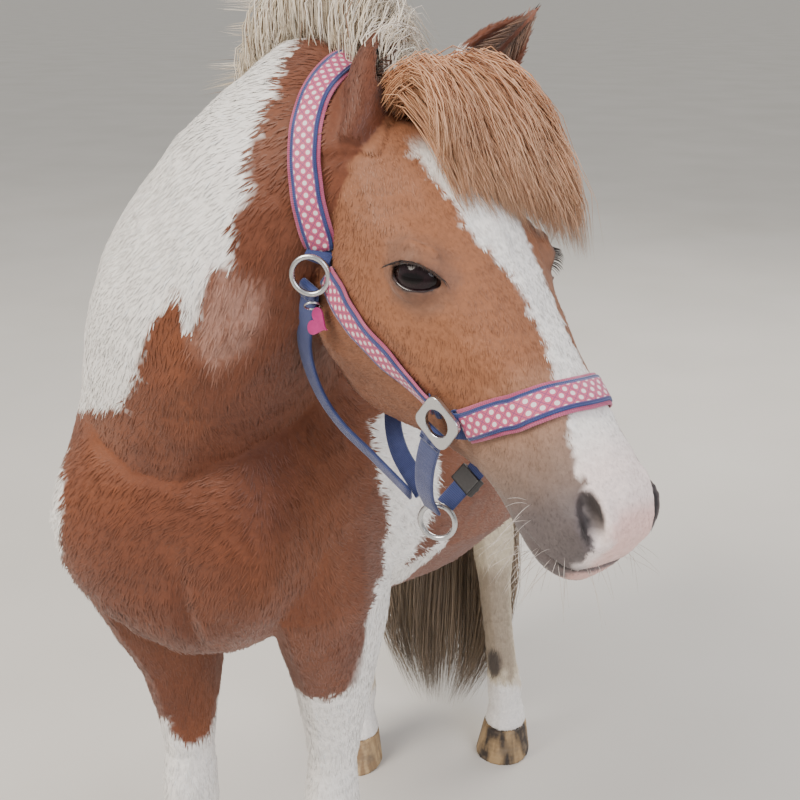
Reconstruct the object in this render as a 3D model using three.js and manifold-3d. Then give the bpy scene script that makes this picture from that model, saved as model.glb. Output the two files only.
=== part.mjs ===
// Shetland pony, life size, standing square on four hooves with its head turned to its left,
// wearing a webbing halter. Millimetres, +Z up. The pony faces -Y, and its left side is +X.
import * as THREE from 'three';
import { mergeVertices } from 'three/addons/utils/BufferGeometryUtils.js';
import Module from 'manifold-3d';

const wasm = await Module();
wasm.setup();

// Driving dimensions of the body
const GAP = 0.3;            // between pieces that touch
const HOOF_HEIGHT = 52;
const CORONET = HOOF_HEIGHT + GAP;
const KNEE_CUT = 252;
const HOCK_CUT = 330;

// Place and turn of the head: the poll, between the ears, is the head's own origin
const POLL = [238, -442, 1118];
const HEAD_TURN = 58;       // degrees to the pony's left of straight ahead
const HEAD_DROP = 40;       // degrees of the nose below level
const HEAD_ROLL = -5;       // degrees, left side up
const HEAD_LENGTH = 392;

// Eyes, in the head's own frame: x to its left, -y along the nose, z away from the jaw
const EYE_RADIUS = 22;
const EYE = [56, -147, -29];
const EYE_SLANT = -30;      // degrees from the nose's line to the line through both corners
const LID_THICK = 4;
const LID_OPENING = [46, 21];  // corner to corner, and upper lid to lower

// Halter
const STRAP_THICK = 4;
const STRAP_WIDTH = 24;
const RING_WIRE = 2.6;

const COLOURS = {
  chestnut: '#8a5236',
  white: '#ded8d2',
  mane: '#e2d9cb',
  forelock: '#bd8a66',
  tail: '#7a6856',
  hoof: '#a08a72',
  eye: '#1a1216',
  webbing: '#454f80',
  ribbon: '#cf6a88',
  steel: '#b9bcc0',
  plastic: '#1d1c20',
  tag: '#b52f78',
};

// Numbers between the rows of a table, on a smooth curve through each column
function blendRows(rows, knots, at) {
  let i = 0;
  while (i < knots.length - 2 && at > knots[i + 1]) i += 1;
  const span = knots[i + 1] - knots[i];
  const u = (at - knots[i]) / span;
  const slope = (row, column) => {
    const before = Math.max(row - 1, 0);
    const after = Math.min(row + 1, rows.length - 1);
    return (rows[after][column] - rows[before][column]) / (knots[after] - knots[before]);
  };
  return rows[i].map((start, column) => {
    const end = rows[i + 1][column];
    const startSlope = slope(i, column) * span;
    const endSlope = slope(i + 1, column) * span;
    const turn = 2 * start - 2 * end + startSlope + endSlope;
    const bend = -3 * start + 3 * end - 2 * startSlope - endSlope;
    return ((turn * u + bend) * u + startSlope) * u + start;
  });
}

// A closed body through cross-sections. Each row holds the point on its upper or front edge,
// the point on its lower or back edge, and its half-width at an eighth, at two fifths and at
// four fifths of the way from the first to the second.
function loft(rows, sides, steps, grow = 0) {
  const middles = rows.map((r) => (
    new THREE.Vector3(r[0] + r[3], r[1] + r[4], r[2] + r[5]).multiplyScalar(0.5)
  ));
  const knots = [0];
  middles.slice(1).forEach((point, i) => knots.push(knots[i] + Math.max(point.distanceTo(middles[i]), 1)));
  const rings = (rows.length - 1) * steps;
  const sections = [];
  for (let ring = 0; ring <= rings; ring += 1) {
    const row = Math.min(Math.floor(ring / steps), rows.length - 2);
    const at = knots[row] + (knots[row + 1] - knots[row]) * (ring / steps - row);
    sections.push(section(blendRows(rows, knots, at)));
  }
  sections.forEach((one, ring) => {
    const before = sections[Math.max(ring - 1, 0)].middle;
    const after = sections[Math.min(ring + 1, rings)].middle;
    one.ahead = after.clone().sub(before).normalize();
    one.side = one.ahead.clone().cross(one.up).normalize();
  });
  const geometry = new THREE.CylinderGeometry(1, 1, 1, sides, rings);
  const place = geometry.attributes.position;
  for (let i = 0; i < place.count; i += 1) {
    const ring = Math.round((0.5 - place.getY(i)) * rings);
    const rim = Math.hypot(place.getX(i), place.getZ(i)) > 0.5;
    const turn = Math.atan2(place.getX(i), place.getZ(i)) / (2 * Math.PI);
    const one = sections[ring];
    const point = one.middle.clone();
    if (rim) {
      const [across, along] = sectionPoint(one, grow, (turn + 1) % 1);
      point.addScaledVector(one.side, across).addScaledVector(one.up, along);
    }
    const end = ring === 0 ? -grow : grow * (ring === rings);
    point.addScaledVector(one.ahead, end);
    place.setXYZ(i, point.x, point.y, point.z);
  }
  return geometry;
}

function section(row) {
  const top = new THREE.Vector3(row[0], row[1], row[2]);
  const bottom = new THREE.Vector3(row[3], row[4], row[5]);
  return {
    middle: top.clone().add(bottom).multiplyScalar(0.5),
    up: top.clone().sub(bottom).normalize(),
    reach: top.distanceTo(bottom) / 2,
    widths: row.slice(6),
  };
}

// The outline of one cross-section as a closed curve, read at a fraction of the way round
function sectionPoint(one, grow, fraction) {
  const reach = one.reach + grow;
  const [high, mid, low] = one.widths.map((width) => width + grow);
  if (!one.outline || one.grown !== grow) {
    const right = [[0, 1], [high, 0.74], [mid, 0.16], [low, -0.56], [0, -1]];
    const left = right.slice(1, 4).reverse().map(([x, y]) => [-x, y]);
    const corners = [...right, ...left].map(([x, y]) => new THREE.Vector3(x, y * reach, 0));
    one.outline = new THREE.CatmullRomCurve3(corners, true, 'centripetal');
    one.grown = grow;
  }
  const point = one.outline.getPoint(fraction);
  return [point.x, point.y];
}

// A row for a limb: height, front and back edges, sideways middle and half-width
function limbRow(height, front, back, side, half, lean = 0) {
  return [side, front, height + lean, side, back, height - lean, 0.67 * half, half, 0.84 * half];
}

// A row for the trunk: its place along the body, top, bottom and three half-widths
function trunkRow(along, top, bottom, high, mid, low) {
  return [0, along, top, 0, along, bottom, high, mid, low];
}

// A row for the head: distance from the poll, bridge, jaw and three half-widths
function headRow(along, top, bottom, high, mid, low) {
  return [0, -along, top, 0, -along, bottom, high, mid, low];
}

function mirrored(rows) {
  return rows.map((r) => [-r[0], r[1], r[2], -r[3], r[4], r[5], ...r.slice(6)]);
}

// Move the points near a place by a push that fades to nothing at its reach
function swell(geometry, centre, reach, push) {
  const place = geometry.attributes.position;
  for (let i = 0; i < place.count; i += 1) {
    const far = Math.hypot(
      (place.getX(i) - centre[0]) / reach[0],
      (place.getY(i) - centre[1]) / reach[1],
      (place.getZ(i) - centre[2]) / reach[2],
    );
    const share = far < 1 ? (1 - far * far) ** 2 : 0;
    place.setXYZ(
      i,
      place.getX(i) + push[0] * share,
      place.getY(i) + push[1] * share,
      place.getZ(i) + push[2] * share,
    );
  }
  return geometry;
}

// The same push on both sides of the head or body
function swellBoth(geometry, centre, reach, push) {
  swell(geometry, centre, reach, push);
  return swell(geometry, [-centre[0], centre[1], centre[2]], reach, [-push[0], push[1], push[2]]);
}

// A closed geometry as a solid with its faces pointing out
function solid(geometry) {
  const bare = geometry.clone();
  bare.deleteAttribute('normal');
  bare.deleteAttribute('uv');
  const whole = mergeVertices(bare, 1e-4);
  const points = whole.attributes.position.array;
  const index = whole.index.array;
  let volume = 0;
  const corner = (i) => new THREE.Vector3().fromArray(points, 3 * index[i]);
  for (let i = 0; i < index.length; i += 3) volume += corner(i).dot(corner(i + 1).cross(corner(i + 2)));
  const faces = [];
  for (let i = 0; i < index.length; i += 3) {
    const [a, b, c] = [index[i], index[i + 1], index[i + 2]];
    if (a !== b && b !== c && c !== a) faces.push(...(volume > 0 ? [a, b, c] : [a, c, b]));
  }
  return new wasm.Manifold(new wasm.Mesh({
    numProp: 3,
    vertProperties: new Float32Array(points),
    triVerts: new Uint32Array(faces),
  }));
}

function joined(solids) {
  return solids.reduce((whole, piece) => whole.add(piece));
}

// Only the largest closed surface of a solid
function largest(body) {
  const pieces = body.decompose();
  return pieces.reduce((best, piece) => (piece.volume() > best.volume() ? piece : best));
}

const pony = new THREE.Group();

function addNode(name, body, colour, roughness = 0.85, metalness = 0) {
  const mesh = largest(body).getMesh();
  const geometry = new THREE.BufferGeometry();
  geometry.setAttribute('position', new THREE.BufferAttribute(new Float32Array(mesh.vertProperties), 3));
  geometry.setIndex(new THREE.BufferAttribute(new Uint32Array(mesh.triVerts), 1));
  geometry.computeVertexNormals();
  const material = new THREE.MeshStandardMaterial({ color: colour, roughness, metalness });
  const node = new THREE.Mesh(geometry, material);
  node.name = name;
  pony.add(node);
}

function ball(centre, radii, around = 20, up = 14) {
  return new THREE.SphereGeometry(1, around, up).scale(...radii).translate(...centre);
}

function box(size, centre) {
  return new THREE.BoxGeometry(...size).translate(...centre);
}

// A prism along Y from an outline in X and Z
function prism(outline, from, to) {
  const shape = new THREE.Shape(outline.map(([x, z]) => new THREE.Vector2(x, z)));
  const block = new THREE.ExtrudeGeometry(shape, { depth: to - from, bevelEnabled: false });
  return block.rotateX(Math.PI / 2).translate(0, to, 0);
}

// The head's own frame: drop the nose, roll, then turn to the left
const headPlace = new THREE.Matrix4().makeTranslation(...POLL)
  .multiply(new THREE.Matrix4().makeRotationZ(THREE.MathUtils.degToRad(HEAD_TURN)))
  .multiply(new THREE.Matrix4().makeRotationX(THREE.MathUtils.degToRad(HEAD_DROP)))
  .multiply(new THREE.Matrix4().makeRotationY(THREE.MathUtils.degToRad(-HEAD_ROLL)));

// A solid in the head's frame, carried to its place
function placed(body) {
  return body.transform(headPlace.elements);
}

function onHead(geometry) {
  return geometry.clone().applyMatrix4(headPlace);
}

// Trunk
const TRUNK_ROWS = [
  trunkRow(-508, 740, 650, 40, 60, 50),
  trunkRow(-502, 772, 624, 68, 96, 80),
  trunkRow(-484, 808, 594, 88, 124, 102),
  trunkRow(-450, 858, 564, 96, 136, 110),
  trunkRow(-400, 915, 540, 106, 158, 124),
  trunkRow(-320, 972, 520, 98, 180, 144),
  trunkRow(-220, 1000, 496, 74, 198, 182),
  trunkRow(-110, 980, 462, 96, 214, 204),
  trunkRow(20, 954, 430, 130, 228, 220),
  trunkRow(130, 958, 438, 142, 226, 212),
  trunkRow(230, 984, 484, 140, 206, 184),
  trunkRow(310, 980, 560, 134, 188, 162),
  trunkRow(385, 936, 640, 114, 154, 132),
  trunkRow(427, 876, 700, 74, 98, 84),
  trunkRow(442, 828, 745, 34, 46, 38),
];
const HIND_SHIFT = -34;     // the hindquarters stand this far to the pony's right
const BEND_FROM = -150;
const BEND_TO = 330;

// Carry rows behind the shoulder over to the side on which the hindquarters stand
function bent(rows) {
  const shift = (along) => {
    const share = Math.min(1, Math.max(0, (along - BEND_FROM) / (BEND_TO - BEND_FROM)));
    return HIND_SHIFT * share * share * (3 - 2 * share);
  };
  return rows.map((r) => [r[0] + shift(r[1]), r[1], r[2], r[3] + shift(r[4]), r[4], r[5], ...r.slice(6)]);
}

// Neck, each row from its crest to its throat
const NECK_ROWS = [
  [0, -150, 955, 0, -380, 560, 58, 130, 96],
  [0, -228, 1020, 4, -466, 690, 62, 140, 112],
  [22, -284, 1084, 46, -503, 800, 52, 121, 104],
  [72, -334, 1150, 116, -510, 888, 43, 93, 85],
  [135, -375, 1172, 170, -490, 950, 40, 77, 66],
  [196, -412, 1148, 215, -470, 988, 37, 67, 55],
  [245, -440, 1102, 245, -462, 1014, 28, 48, 40],
];

const FORE_ROWS = [
  limbRow(850, -400, -300, 84, 40),
  limbRow(770, -440, -245, 94, 52),
  limbRow(690, -456, -212, 104, 58),
  limbRow(610, -440, -200, 106, 56),
  limbRow(540, -398, -200, 100, 50),
  limbRow(470, -354, -214, 93, 42),
  limbRow(405, -330, -234, 90, 33),
  limbRow(350, -320, -250, 87, 27),
  limbRow(310, -324, -250, 86, 31),
  limbRow(275, -322, -248, 86, 32),
  limbRow(240, -308, -256, 86, 25),
  limbRow(180, -303, -254, 86, 20),
  limbRow(135, -304, -250, 86, 22),
  limbRow(108, -308, -242, 86, 28),
  limbRow(84, -314, -250, 87, 26, -4),
  limbRow(62, -325, -250, 88, 32, -4),
  limbRow(CORONET - 6, -332, -250, 88, 35, -2),
];
const FORE_STEP = { left: 0, right: -38 };

const HIND_ROWS = [
  limbRow(900, 250, 388, 84, 50),
  limbRow(820, 190, 430, 102, 68),
  limbRow(730, 160, 438, 116, 74),
  limbRow(640, 150, 426, 120, 70),
  limbRow(560, 172, 412, 116, 57),
  limbRow(490, 218, 396, 110, 43),
  limbRow(440, 262, 390, 104, 33),
  limbRow(400, 286, 394, 107, 29),
  limbRow(372, 294, 396, 110, 31),
  limbRow(335, 294, 380, 114, 31),
  limbRow(290, 292, 356, 119, 25),
  limbRow(220, 284, 340, 127, 22),
  limbRow(150, 276, 332, 136, 23),
  limbRow(112, 270, 334, 141, 28),
  limbRow(86, 266, 328, 143, 26, -4),
  limbRow(62, 258, 331, 144, 31, -4),
  limbRow(CORONET - 6, 254, 335, 144, 34, -2),
];
// How far each hind leg is swung forward and inward, from nothing at the hip to all at the hoof
const HIND_SWING = { left: [0, 30], right: [-120, -95] };
const HIP_HEIGHT = 820;

function foreRows(side) {
  const rows = FORE_ROWS.map((r) => [r[0], r[1], r[2], r[3], r[4], r[5], ...r.slice(6)]);
  rows.forEach((r) => {
    const share = Math.min(1, Math.max(0, (760 - r[2]) / 500));
    r[1] += FORE_STEP[side] * share;
    r[4] += FORE_STEP[side] * share;
  });
  return side === 'left' ? rows : mirrored(rows);
}

function hindRows(side) {
  const [forward, inward] = HIND_SWING[side];
  const rows = HIND_ROWS.map((r) => {
    const share = Math.min(1, Math.max(0, (HIP_HEIGHT - r[2]) / HIP_HEIGHT)) ** 0.8;
    return [r[0] + inward * share, r[1] + forward * share, r[2],
      r[3] + inward * share, r[4] + forward * share, r[5], ...r.slice(6)];
  });
  return bent(side === 'left' ? rows : mirrored(rows));
}

// Head, in its own frame
const HEAD_ROWS = [
  headRow(-34, -34, -110, 28, 40, 32),
  headRow(-22, -16, -135, 40, 54, 44),
  headRow(0, 0, -165, 47, 61, 50),
  headRow(36, 10, -198, 54, 67, 50),
  headRow(76, 15, -218, 60, 72, 48),
  headRow(112, 15, -222, 64, 75, 46),
  headRow(142, 12, -215, 65, 76, 44),
  headRow(172, 7, -198, 60, 71, 42),
  headRow(205, 1, -172, 51, 61, 39),
  headRow(240, -4, -148, 44, 53, 36),
  headRow(275, -7, -130, 38, 47, 35),
  headRow(310, -9, -122, 36, 46, 37),
  headRow(340, -11, -122, 36, 48, 38),
  headRow(362, -15, -121, 34, 47, 37),
  headRow(378, -24, -115, 30, 41, 32),
  headRow(388, -36, -106, 22, 31, 23),
  headRow(HEAD_LENGTH, -52, -92, 11, 15, 11),
];

function headForm(grow) {
  const form = loft(HEAD_ROWS, 26, 2, grow);
  swellBoth(form, [64, -140, -14], [26, 40, 26], [9, 0, 7]);       // brow
  swellBoth(form, [56, -178, -72], [30, 66, 26], [7, 0, 0]);       // facial crest
  swellBoth(form, [46, -100, -145], [40, 66, 64], [12, 0, 0]);     // cheek
  swellBoth(form, [56, -76, -5], [34, 38, 40], [-6, 0, -5]);       // hollow above the eye
  swellBoth(form, [36, -362, -48], [26, 30, 30], [7, -2, 4]);      // nostril
  swell(form, [0, -352, -124], [40, 38, 26], [0, 0, -6]);          // chin
  swell(form, [0, -290, -126], [36, 34, 24], [0, 0, 6]);           // chin groove
  return form;
}

// The head with the round swelling of the lids over each eyeball, in its own frame
function headAlone(grow) {
  const lids = EYE_RADIUS + LID_THICK + grow;
  const balls = [-1, 1].map((side) => (
    solid(ball([side * EYE[0], EYE[1], EYE[2]], [lids, lids, lids], 14, 10))
  ));
  return joined([solid(headForm(grow)), ...balls]);
}

function headSolid(grow) {
  return placed(headAlone(grow));
}

function legSolids(grow) {
  const legs = [];
  for (const side of ['left', 'right']) {
    legs.push(solid(loft(foreRows(side), 14, 1, grow)));
    legs.push(solid(loft(hindRows(side), 14, 1, grow)));
  }
  return legs;
}

function bodySolid(grow) {
  const trunk = solid(loft(bent(TRUNK_ROWS), 24, 2, grow));
  const neck = solid(loft(NECK_ROWS, 20, 3, grow));
  return joined([trunk, neck, ...legSolids(grow)]);
}

// The opening between the lids of the left eye: an almond along the slanted line of the corners
function lidOpening() {
  const [half, high] = LID_OPENING.map((size) => size / 2);
  const almond = new THREE.Shape();
  almond.moveTo(-half, 0);
  almond.bezierCurveTo(-half * 0.55, high * 1.4, half * 0.4, high * 1.5, half, 0);
  almond.bezierCurveTo(half * 0.45, -high * 1.25, -half * 0.5, -high * 1.25, -half, 0);
  const block = new THREE.ExtrudeGeometry(almond, { depth: 40, bevelEnabled: false, curveSegments: 7 });
  return block.rotateY(Math.PI / 2).rotateX(Math.PI / 2 + THREE.MathUtils.degToRad(EYE_SLANT))
    .rotateY(-0.3).rotateZ(-0.3).translate(...EYE);
}

const NOSTRIL = { place: [35, -369, -33], radii: [9, 24, 8.5], drop: 0.5 };
const MOUTH = { place: [0, -367, -84], size: [120, 80, 2.4], rise: -0.26, depth: 8 };

// Features cut in the head: nostrils, the line of the mouth, and the openings between the lids
function headFeatures() {
  const slit = solid(box(MOUTH.size, [0, 0, 0]).rotateX(MOUTH.rise).translate(...MOUTH.place));
  const cuts = [slit.subtract(solid(headForm(-MOUTH.depth)))];
  for (const side of [-1, 1]) {
    const nostril = ball([0, 0, 0], NOSTRIL.radii, 12, 8).rotateX(NOSTRIL.drop).rotateZ(-0.16);
    const socket = EYE_RADIUS + GAP;
    cuts.push(solid(nostril.translate(...NOSTRIL.place).scale(side, 1, 1)));
    cuts.push(solid(lidOpening().scale(side, 1, 1)));
    cuts.push(solid(ball([side * EYE[0], EYE[1], EYE[2]], [socket, socket, socket], 12, 8)));
  }
  return cuts;
}

// An ear: a leaf-shaped cup on a short stem, in its own frame with its tip up and its opening to -y
const EAR_LENGTH = 122;
const EAR_WALL = 4;
const EAR_ROWS = [
  [0, -4, -24, 0, 16, -24, 6, 10, 8],
  [0, -15, -2, 0, 16, 2, 11, 16, 13],
  [0, -19, 24, 0, 19, 24, 17, 23, 18],
  [0, -18, 48, 0, 18, 48, 19, 27, 20],
  [0, -14, 74, 0, 15, 74, 15, 23, 16],
  [0, -9, 95, 0, 9, 95, 8, 14, 10],
  [0, -5, 112, 0, 3, 112, 2.5, 5, 3.5],
  [0, -3, EAR_LENGTH, 0, 0, EAR_LENGTH, 0.8, 1.4, 1],
];

function earSolid(place, grow = 0) {
  const outer = solid(loft(EAR_ROWS, 14, 1, grow).applyMatrix4(place));
  if (grow > 0) return outer;
  const cupRows = EAR_ROWS.slice(2, 7).map((r) => {
    const open = [r[0], r[1] - 16, r[2] + 5, r[3], r[4] - EAR_WALL, r[5] + 5];
    return [...open, ...r.slice(6).map((half) => Math.max(half - EAR_WALL, 1.2))];
  });
  return outer.subtract(solid(loft(cupRows, 12, 1).applyMatrix4(place)));
}

const EARS = {
  left: { root: [44, 2, -8], lean: -24, spread: 41, turn: -40 },
  right: { root: [-43, -4, -12], lean: -72, spread: 34, turn: 40 },
};

function earPlace(side) {
  const { root, lean, spread, turn } = EARS[side];
  const rad = THREE.MathUtils.degToRad;
  return headPlace.clone()
    .multiply(new THREE.Matrix4().makeTranslation(...root))
    .multiply(new THREE.Matrix4().makeRotationX(rad(lean)))
    .multiply(new THREE.Matrix4().makeRotationY(rad(spread)))
    .multiply(new THREE.Matrix4().makeRotationZ(rad(turn)));
}

// A flat strip along a curve. Its width runs across the curve and square to the outward direction.
function strip(path, outward, width, thick, steps) {
  const curve = new THREE.CatmullRomCurve3(path.map((p) => new THREE.Vector3(...p)), false, 'centripetal');
  const geometry = new THREE.BoxGeometry(1, 1, 1, 1, 1, steps);
  const place = geometry.attributes.position;
  for (let i = 0; i < place.count; i += 1) {
    const at = place.getZ(i) + 0.5;
    const point = curve.getPoint(at);
    const ahead = curve.getTangent(at);
    const away = outward(point, at);
    const across = ahead.clone().cross(away).normalize();
    const lift = across.clone().cross(ahead).normalize();
    point.addScaledVector(across, place.getX(i) * width);
    point.addScaledVector(lift, place.getY(i) * thick);
    place.setXYZ(i, point.x, point.y, point.z);
  }
  return geometry;
}

// Build the flesh whole, then part it with thin cuts
const NEAR = GAP + 0.05;    // a clearance that stays above the gap between facets
const earPlaces = { left: earPlace('left'), right: earPlace('right') };
const headClear = headSolid(NEAR);
const bodyClear = bodySolid(NEAR);
const neckOnHead = (grow) => solid(loft(NECK_ROWS, 20, 3, grow));
const headRegion = solid(box([400, 600, 600], [0, -294, 0]).rotateX(0.05));
const headCarved = headFeatures()
  .reduce((whole, cut) => whole.subtract(cut), headAlone(0).intersect(headRegion));
addNode('head', placed(headCarved), COLOURS.chestnut, 0.8);

for (const side of ['left', 'right']) {
  const ear = earSolid(earPlaces[side]).subtract(headClear).subtract(bodyClear);
  addNode(`ear_${side}`, ear, COLOURS.chestnut);
  const sign = side === 'left' ? 1 : -1;
  const eye = ball([sign * EYE[0], EYE[1], EYE[2]], [EYE_RADIUS, EYE_RADIUS, EYE_RADIUS], 12, 8);
  addNode(`eye_${side}`, solid(onHead(eye)), COLOURS.eye, 0.1);
}

// Legs below slanted planes that run from the breast or groin up to the shoulder or flank
const LEG_REGIONS = {
  fore: { inner: 470, outer: 700, from: -620, to: -185, cut: KNEE_CUT },
  hind: { inner: 500, outer: 760, from: 90, to: 700, cut: HOCK_CUT },
};
const REGION_WIDTH = 300;

function legRegion(side, pair, grow) {
  const { inner, outer, from, to } = LEG_REGIONS[pair];
  const middle = pair === 'hind' ? HIND_SHIFT : 0;
  const sign = side === 'left' ? 1 : -1;
  const near = middle + sign * (2 - grow);
  const far = middle + sign * REGION_WIDTH;
  const lift = grow * 1.4;
  const outline = [[near, -50], [near, inner + lift], [far, outer + lift], [far, -50]];
  return solid(prism(outline, from - grow, to + grow));
}

let rest = bodySolid(0).subtract(headClear);
for (const side of ['left', 'right']) {
  for (const [pair, { cut }] of Object.entries(LEG_REGIONS)) {
    const limb = largest(rest.intersect(legRegion(side, pair, 0)));
    rest = rest.subtract(legRegion(side, pair, GAP));
    const upper = solid(box([800, 1600, 800], [0, 0, cut + GAP / 2 + 400]));
    const lower = solid(box([800, 1600, cut - GAP / 2 - CORONET], [0, 0, (cut - GAP / 2 + CORONET) / 2]));
    addNode(`${pair}leg_upper_${side}`, limb.intersect(upper), COLOURS.chestnut);
    addNode(`${pair}leg_lower_${side}`, limb.intersect(lower), COLOURS.white);
  }
}

// Everything ahead of a slanted plane from the withers to the breast is the neck
const NECK_PLANE = { withers: [-228, 1004], lean: 0.94 };
const neckRegion = (shift) => solid(
  new THREE.BoxGeometry(800, 900, 900).translate(0, 0, 450 + shift)
    .rotateX(NECK_PLANE.lean).translate(0, NECK_PLANE.withers[0], NECK_PLANE.withers[1]),
);
addNode('neck', rest.intersect(neckRegion(GAP / 2)), COLOURS.chestnut);
addNode('torso', rest.subtract(neckRegion(-GAP / 2)), COLOURS.chestnut);

// Hooves: slanted cones cut flat at the floor, wider at the sole than at the coronet
function hoof(rows) {
  const top = rows[rows.length - 1];
  const [side, along] = [(top[0] + top[3]) / 2, (top[1] + top[4]) / 2];
  const half = top[7];
  const depth = (top[4] - top[1]) / 2;
  const level = (height, front, back, width) => [
    side, front, height, side, back, height, 0.72 * width, width, 0.86 * width,
  ];
  return loft([
    level(0, along - depth - 18, along + depth - 8, half + 8),
    level(4, along - depth - 17, along + depth - 7, half + 9),
    level(HOOF_HEIGHT, along - depth - 2, along + depth - 4, half),
  ], 18, 1);
}

for (const side of ['left', 'right']) {
  addNode(`hoof_fore_${side}`, solid(hoof(foreRows(side))), COLOURS.hoof, 0.6);
  addNode(`hoof_hind_${side}`, solid(hoof(hindRows(side))), COLOURS.hoof, 0.6);
}

// Halter. Its routes are in the head's own frame, for the left side.
const UPPER_RING = [85, -78, -108];
const LOWER_RING = [60, -240, -92];
const CHIN_RING = [286, -493, 779];   // in the body's frame, where the ring hangs level and open ahead
const CHEEK_ROUTE = [[70, -84, -106], [64, -150, -98], [52, -226, -91]];
const CROWN_ROUTE = [[76, -62, -96], [91, -37, -68], [92, -13, -48], [82, 14, -29],
  [62, 40, -14], [30, 62, 0], [0, 70, 4]];
const NOSE_ROUTE = [[51, -254, -78], [44, -268, -48], [38, -278, -22], [0, -284, -6]];
const THROAT_ROUTE = [[76, -78, -124], [72, -86, -150], [62, -98, -186], [46, -122, -216],
  [30, -152, -231], [15, -190, -231], [7, -238, -221]];
const JAW_ROUTE = [[54, -240, -108], [40, -246, -150], [24, -254, -184], [7, -262, -206]];
const THROAT_WIDTH = 18;
const JAW_WIDTH = 20;
const RING_REACH = 18;
const PLATE = { half: 18, corner: 9, hole: 11.5, thick: 4 };
const RING_FACES = { upper: [0.8, -0.5, 0.3], lower: [0.97, -0.2, -0.1] };
const STRAP_LIFT = 1.3;     // from the skin to a laid strap's inner face
const LAY_REACH = 60;       // how far out from a strap's route its skin is looked for

// The outward direction of the face round the head's own long middle line
const faceOut = (point) => new THREE.Vector3(point.x, 0, point.z + 80).normalize();
const sideOut = (point) => new THREE.Vector3(Math.sign(point.x), -0.35, -0.5);

// A strap that lies on the head or the top of the neck: its route is carried in to the skin there
const skin = [onHead(headForm(0)), loft(NECK_ROWS, 20, 3)].map((shape) => new THREE.Mesh(
  shape, new THREE.MeshBasicMaterial({ side: THREE.DoubleSide }),
));

function layStrap(path, width, steps, grow) {
  const curve = new THREE.CatmullRomCurve3(path.map((p) => new THREE.Vector3(...p)), false, 'centripetal');
  const outward = curve.getSpacedPoints(steps).map((point) => {
    const away = faceOut(point);
    const from = point.clone().addScaledVector(away, 2 * LAY_REACH).applyMatrix4(headPlace);
    const inward = away.clone().negate().transformDirection(headPlace);
    const [hit] = new THREE.Raycaster(from, inward, 0, 4 * LAY_REACH).intersectObjects(skin);
    const normal = hit.face.normal.clone();
    if (normal.dot(inward) > 0) normal.negate();
    return { point: hit.point, normal };
  });
  const smooth = outward.map(({ point }, i) => {
    const near = outward.slice(Math.max(i - 1, 0), i + 2);
    const normal = near.reduce((sum, one) => sum.add(one.normal), new THREE.Vector3()).normalize();
    return { point: point.clone().addScaledVector(normal, STRAP_THICK / 2 + STRAP_LIFT), normal };
  });
  const lie = (point, at) => smooth[Math.round(at * steps)].normal;
  const route = smooth.map(({ point }) => point.toArray());
  return solid(strip(route, lie, width + 2 * grow, STRAP_THICK + 2 * grow, steps));
}

function freeStrap(path, outward, width, steps, grow) {
  return solid(onHead(strip(path, outward, width + 2 * grow, STRAP_THICK + 2 * grow, steps)));
}

function onSide(route, sign) {
  return route.map(([x, y, z]) => [x * sign, y, z]);
}

function overTop(route) {
  return [...onSide(route, 1), ...onSide(route, -1).reverse().slice(1)];
}

// Turn a flat shape to face along a direction and carry it to its place
function facing(geometry, normal, centre) {
  const turn = new THREE.Quaternion().setFromUnitVectors(
    new THREE.Vector3(0, 0, 1), new THREE.Vector3(...normal).normalize(),
  );
  return solid(onHead(geometry.applyQuaternion(turn).translate(...centre)));
}

// A round ring of wire
const wire = (grow) => new THREE.TorusGeometry(RING_REACH - RING_WIRE, RING_WIRE + grow, 6, 14);

// A square plate with rounded corners and a round hole
function plateRing(centre, normal, grow) {
  const { half, corner, hole, thick } = PLATE;
  const straight = half - corner;
  const plate = new THREE.Shape();
  const round = corner + grow;
  plate.absarc(straight, straight, round, 0, Math.PI / 2);
  plate.absarc(-straight, straight, round, Math.PI / 2, Math.PI);
  plate.absarc(-straight, -straight, round, Math.PI, Math.PI * 1.5);
  plate.absarc(straight, -straight, round, Math.PI * 1.5, Math.PI * 2);
  plate.holes.push(new THREE.Path().absarc(0, 0, hole - grow, 0, Math.PI * 2, true));
  const depth = thick + 2 * grow;
  const block = new THREE.ExtrudeGeometry(plate, { depth, bevelEnabled: false, curveSegments: 4 });
  return facing(block.translate(0, 0, -depth / 2), normal, centre);
}

const rings = [];
const straps = [];
for (const [side, sign] of [['left', 1], ['right', -1]]) {
  const turned = ([x, y, z]) => [x * sign, y, z];
  const upper = (grow) => facing(wire(grow), turned(RING_FACES.upper), turned(UPPER_RING));
  const lower = (grow) => plateRing(turned(LOWER_RING), turned(RING_FACES.lower), grow);
  rings.push([`ring_upper_${side}`, upper], [`ring_lower_${side}`, lower]);
  const hanging = (route, width, steps) => (grow) => (
    freeStrap(onSide(route, sign), sideOut, width, steps, grow)
  );
  const cheek = (grow) => layStrap(onSide(CHEEK_ROUTE, sign), STRAP_WIDTH, 6, grow);
  straps.push([`cheek_${side}`, cheek, COLOURS.ribbon]);
  straps.push([`throat_${side}`, hanging(THROAT_ROUTE, THROAT_WIDTH, 12), COLOURS.webbing]);
  straps.push([`jaw_${side}`, hanging(JAW_ROUTE, JAW_WIDTH, 5), COLOURS.webbing]);
}
rings.push(['ring_chin', (grow) => solid(wire(grow).rotateX(Math.PI / 2).translate(...CHIN_RING))]);
straps.push(['crown', (grow) => layStrap(overTop(CROWN_ROUTE), STRAP_WIDTH, 20, grow), COLOURS.ribbon]);
const noseband = (grow) => layStrap(overTop(NOSE_ROUTE), STRAP_WIDTH + 2, 12, grow);
straps.push(['noseband', noseband, COLOURS.ribbon]);

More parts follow.
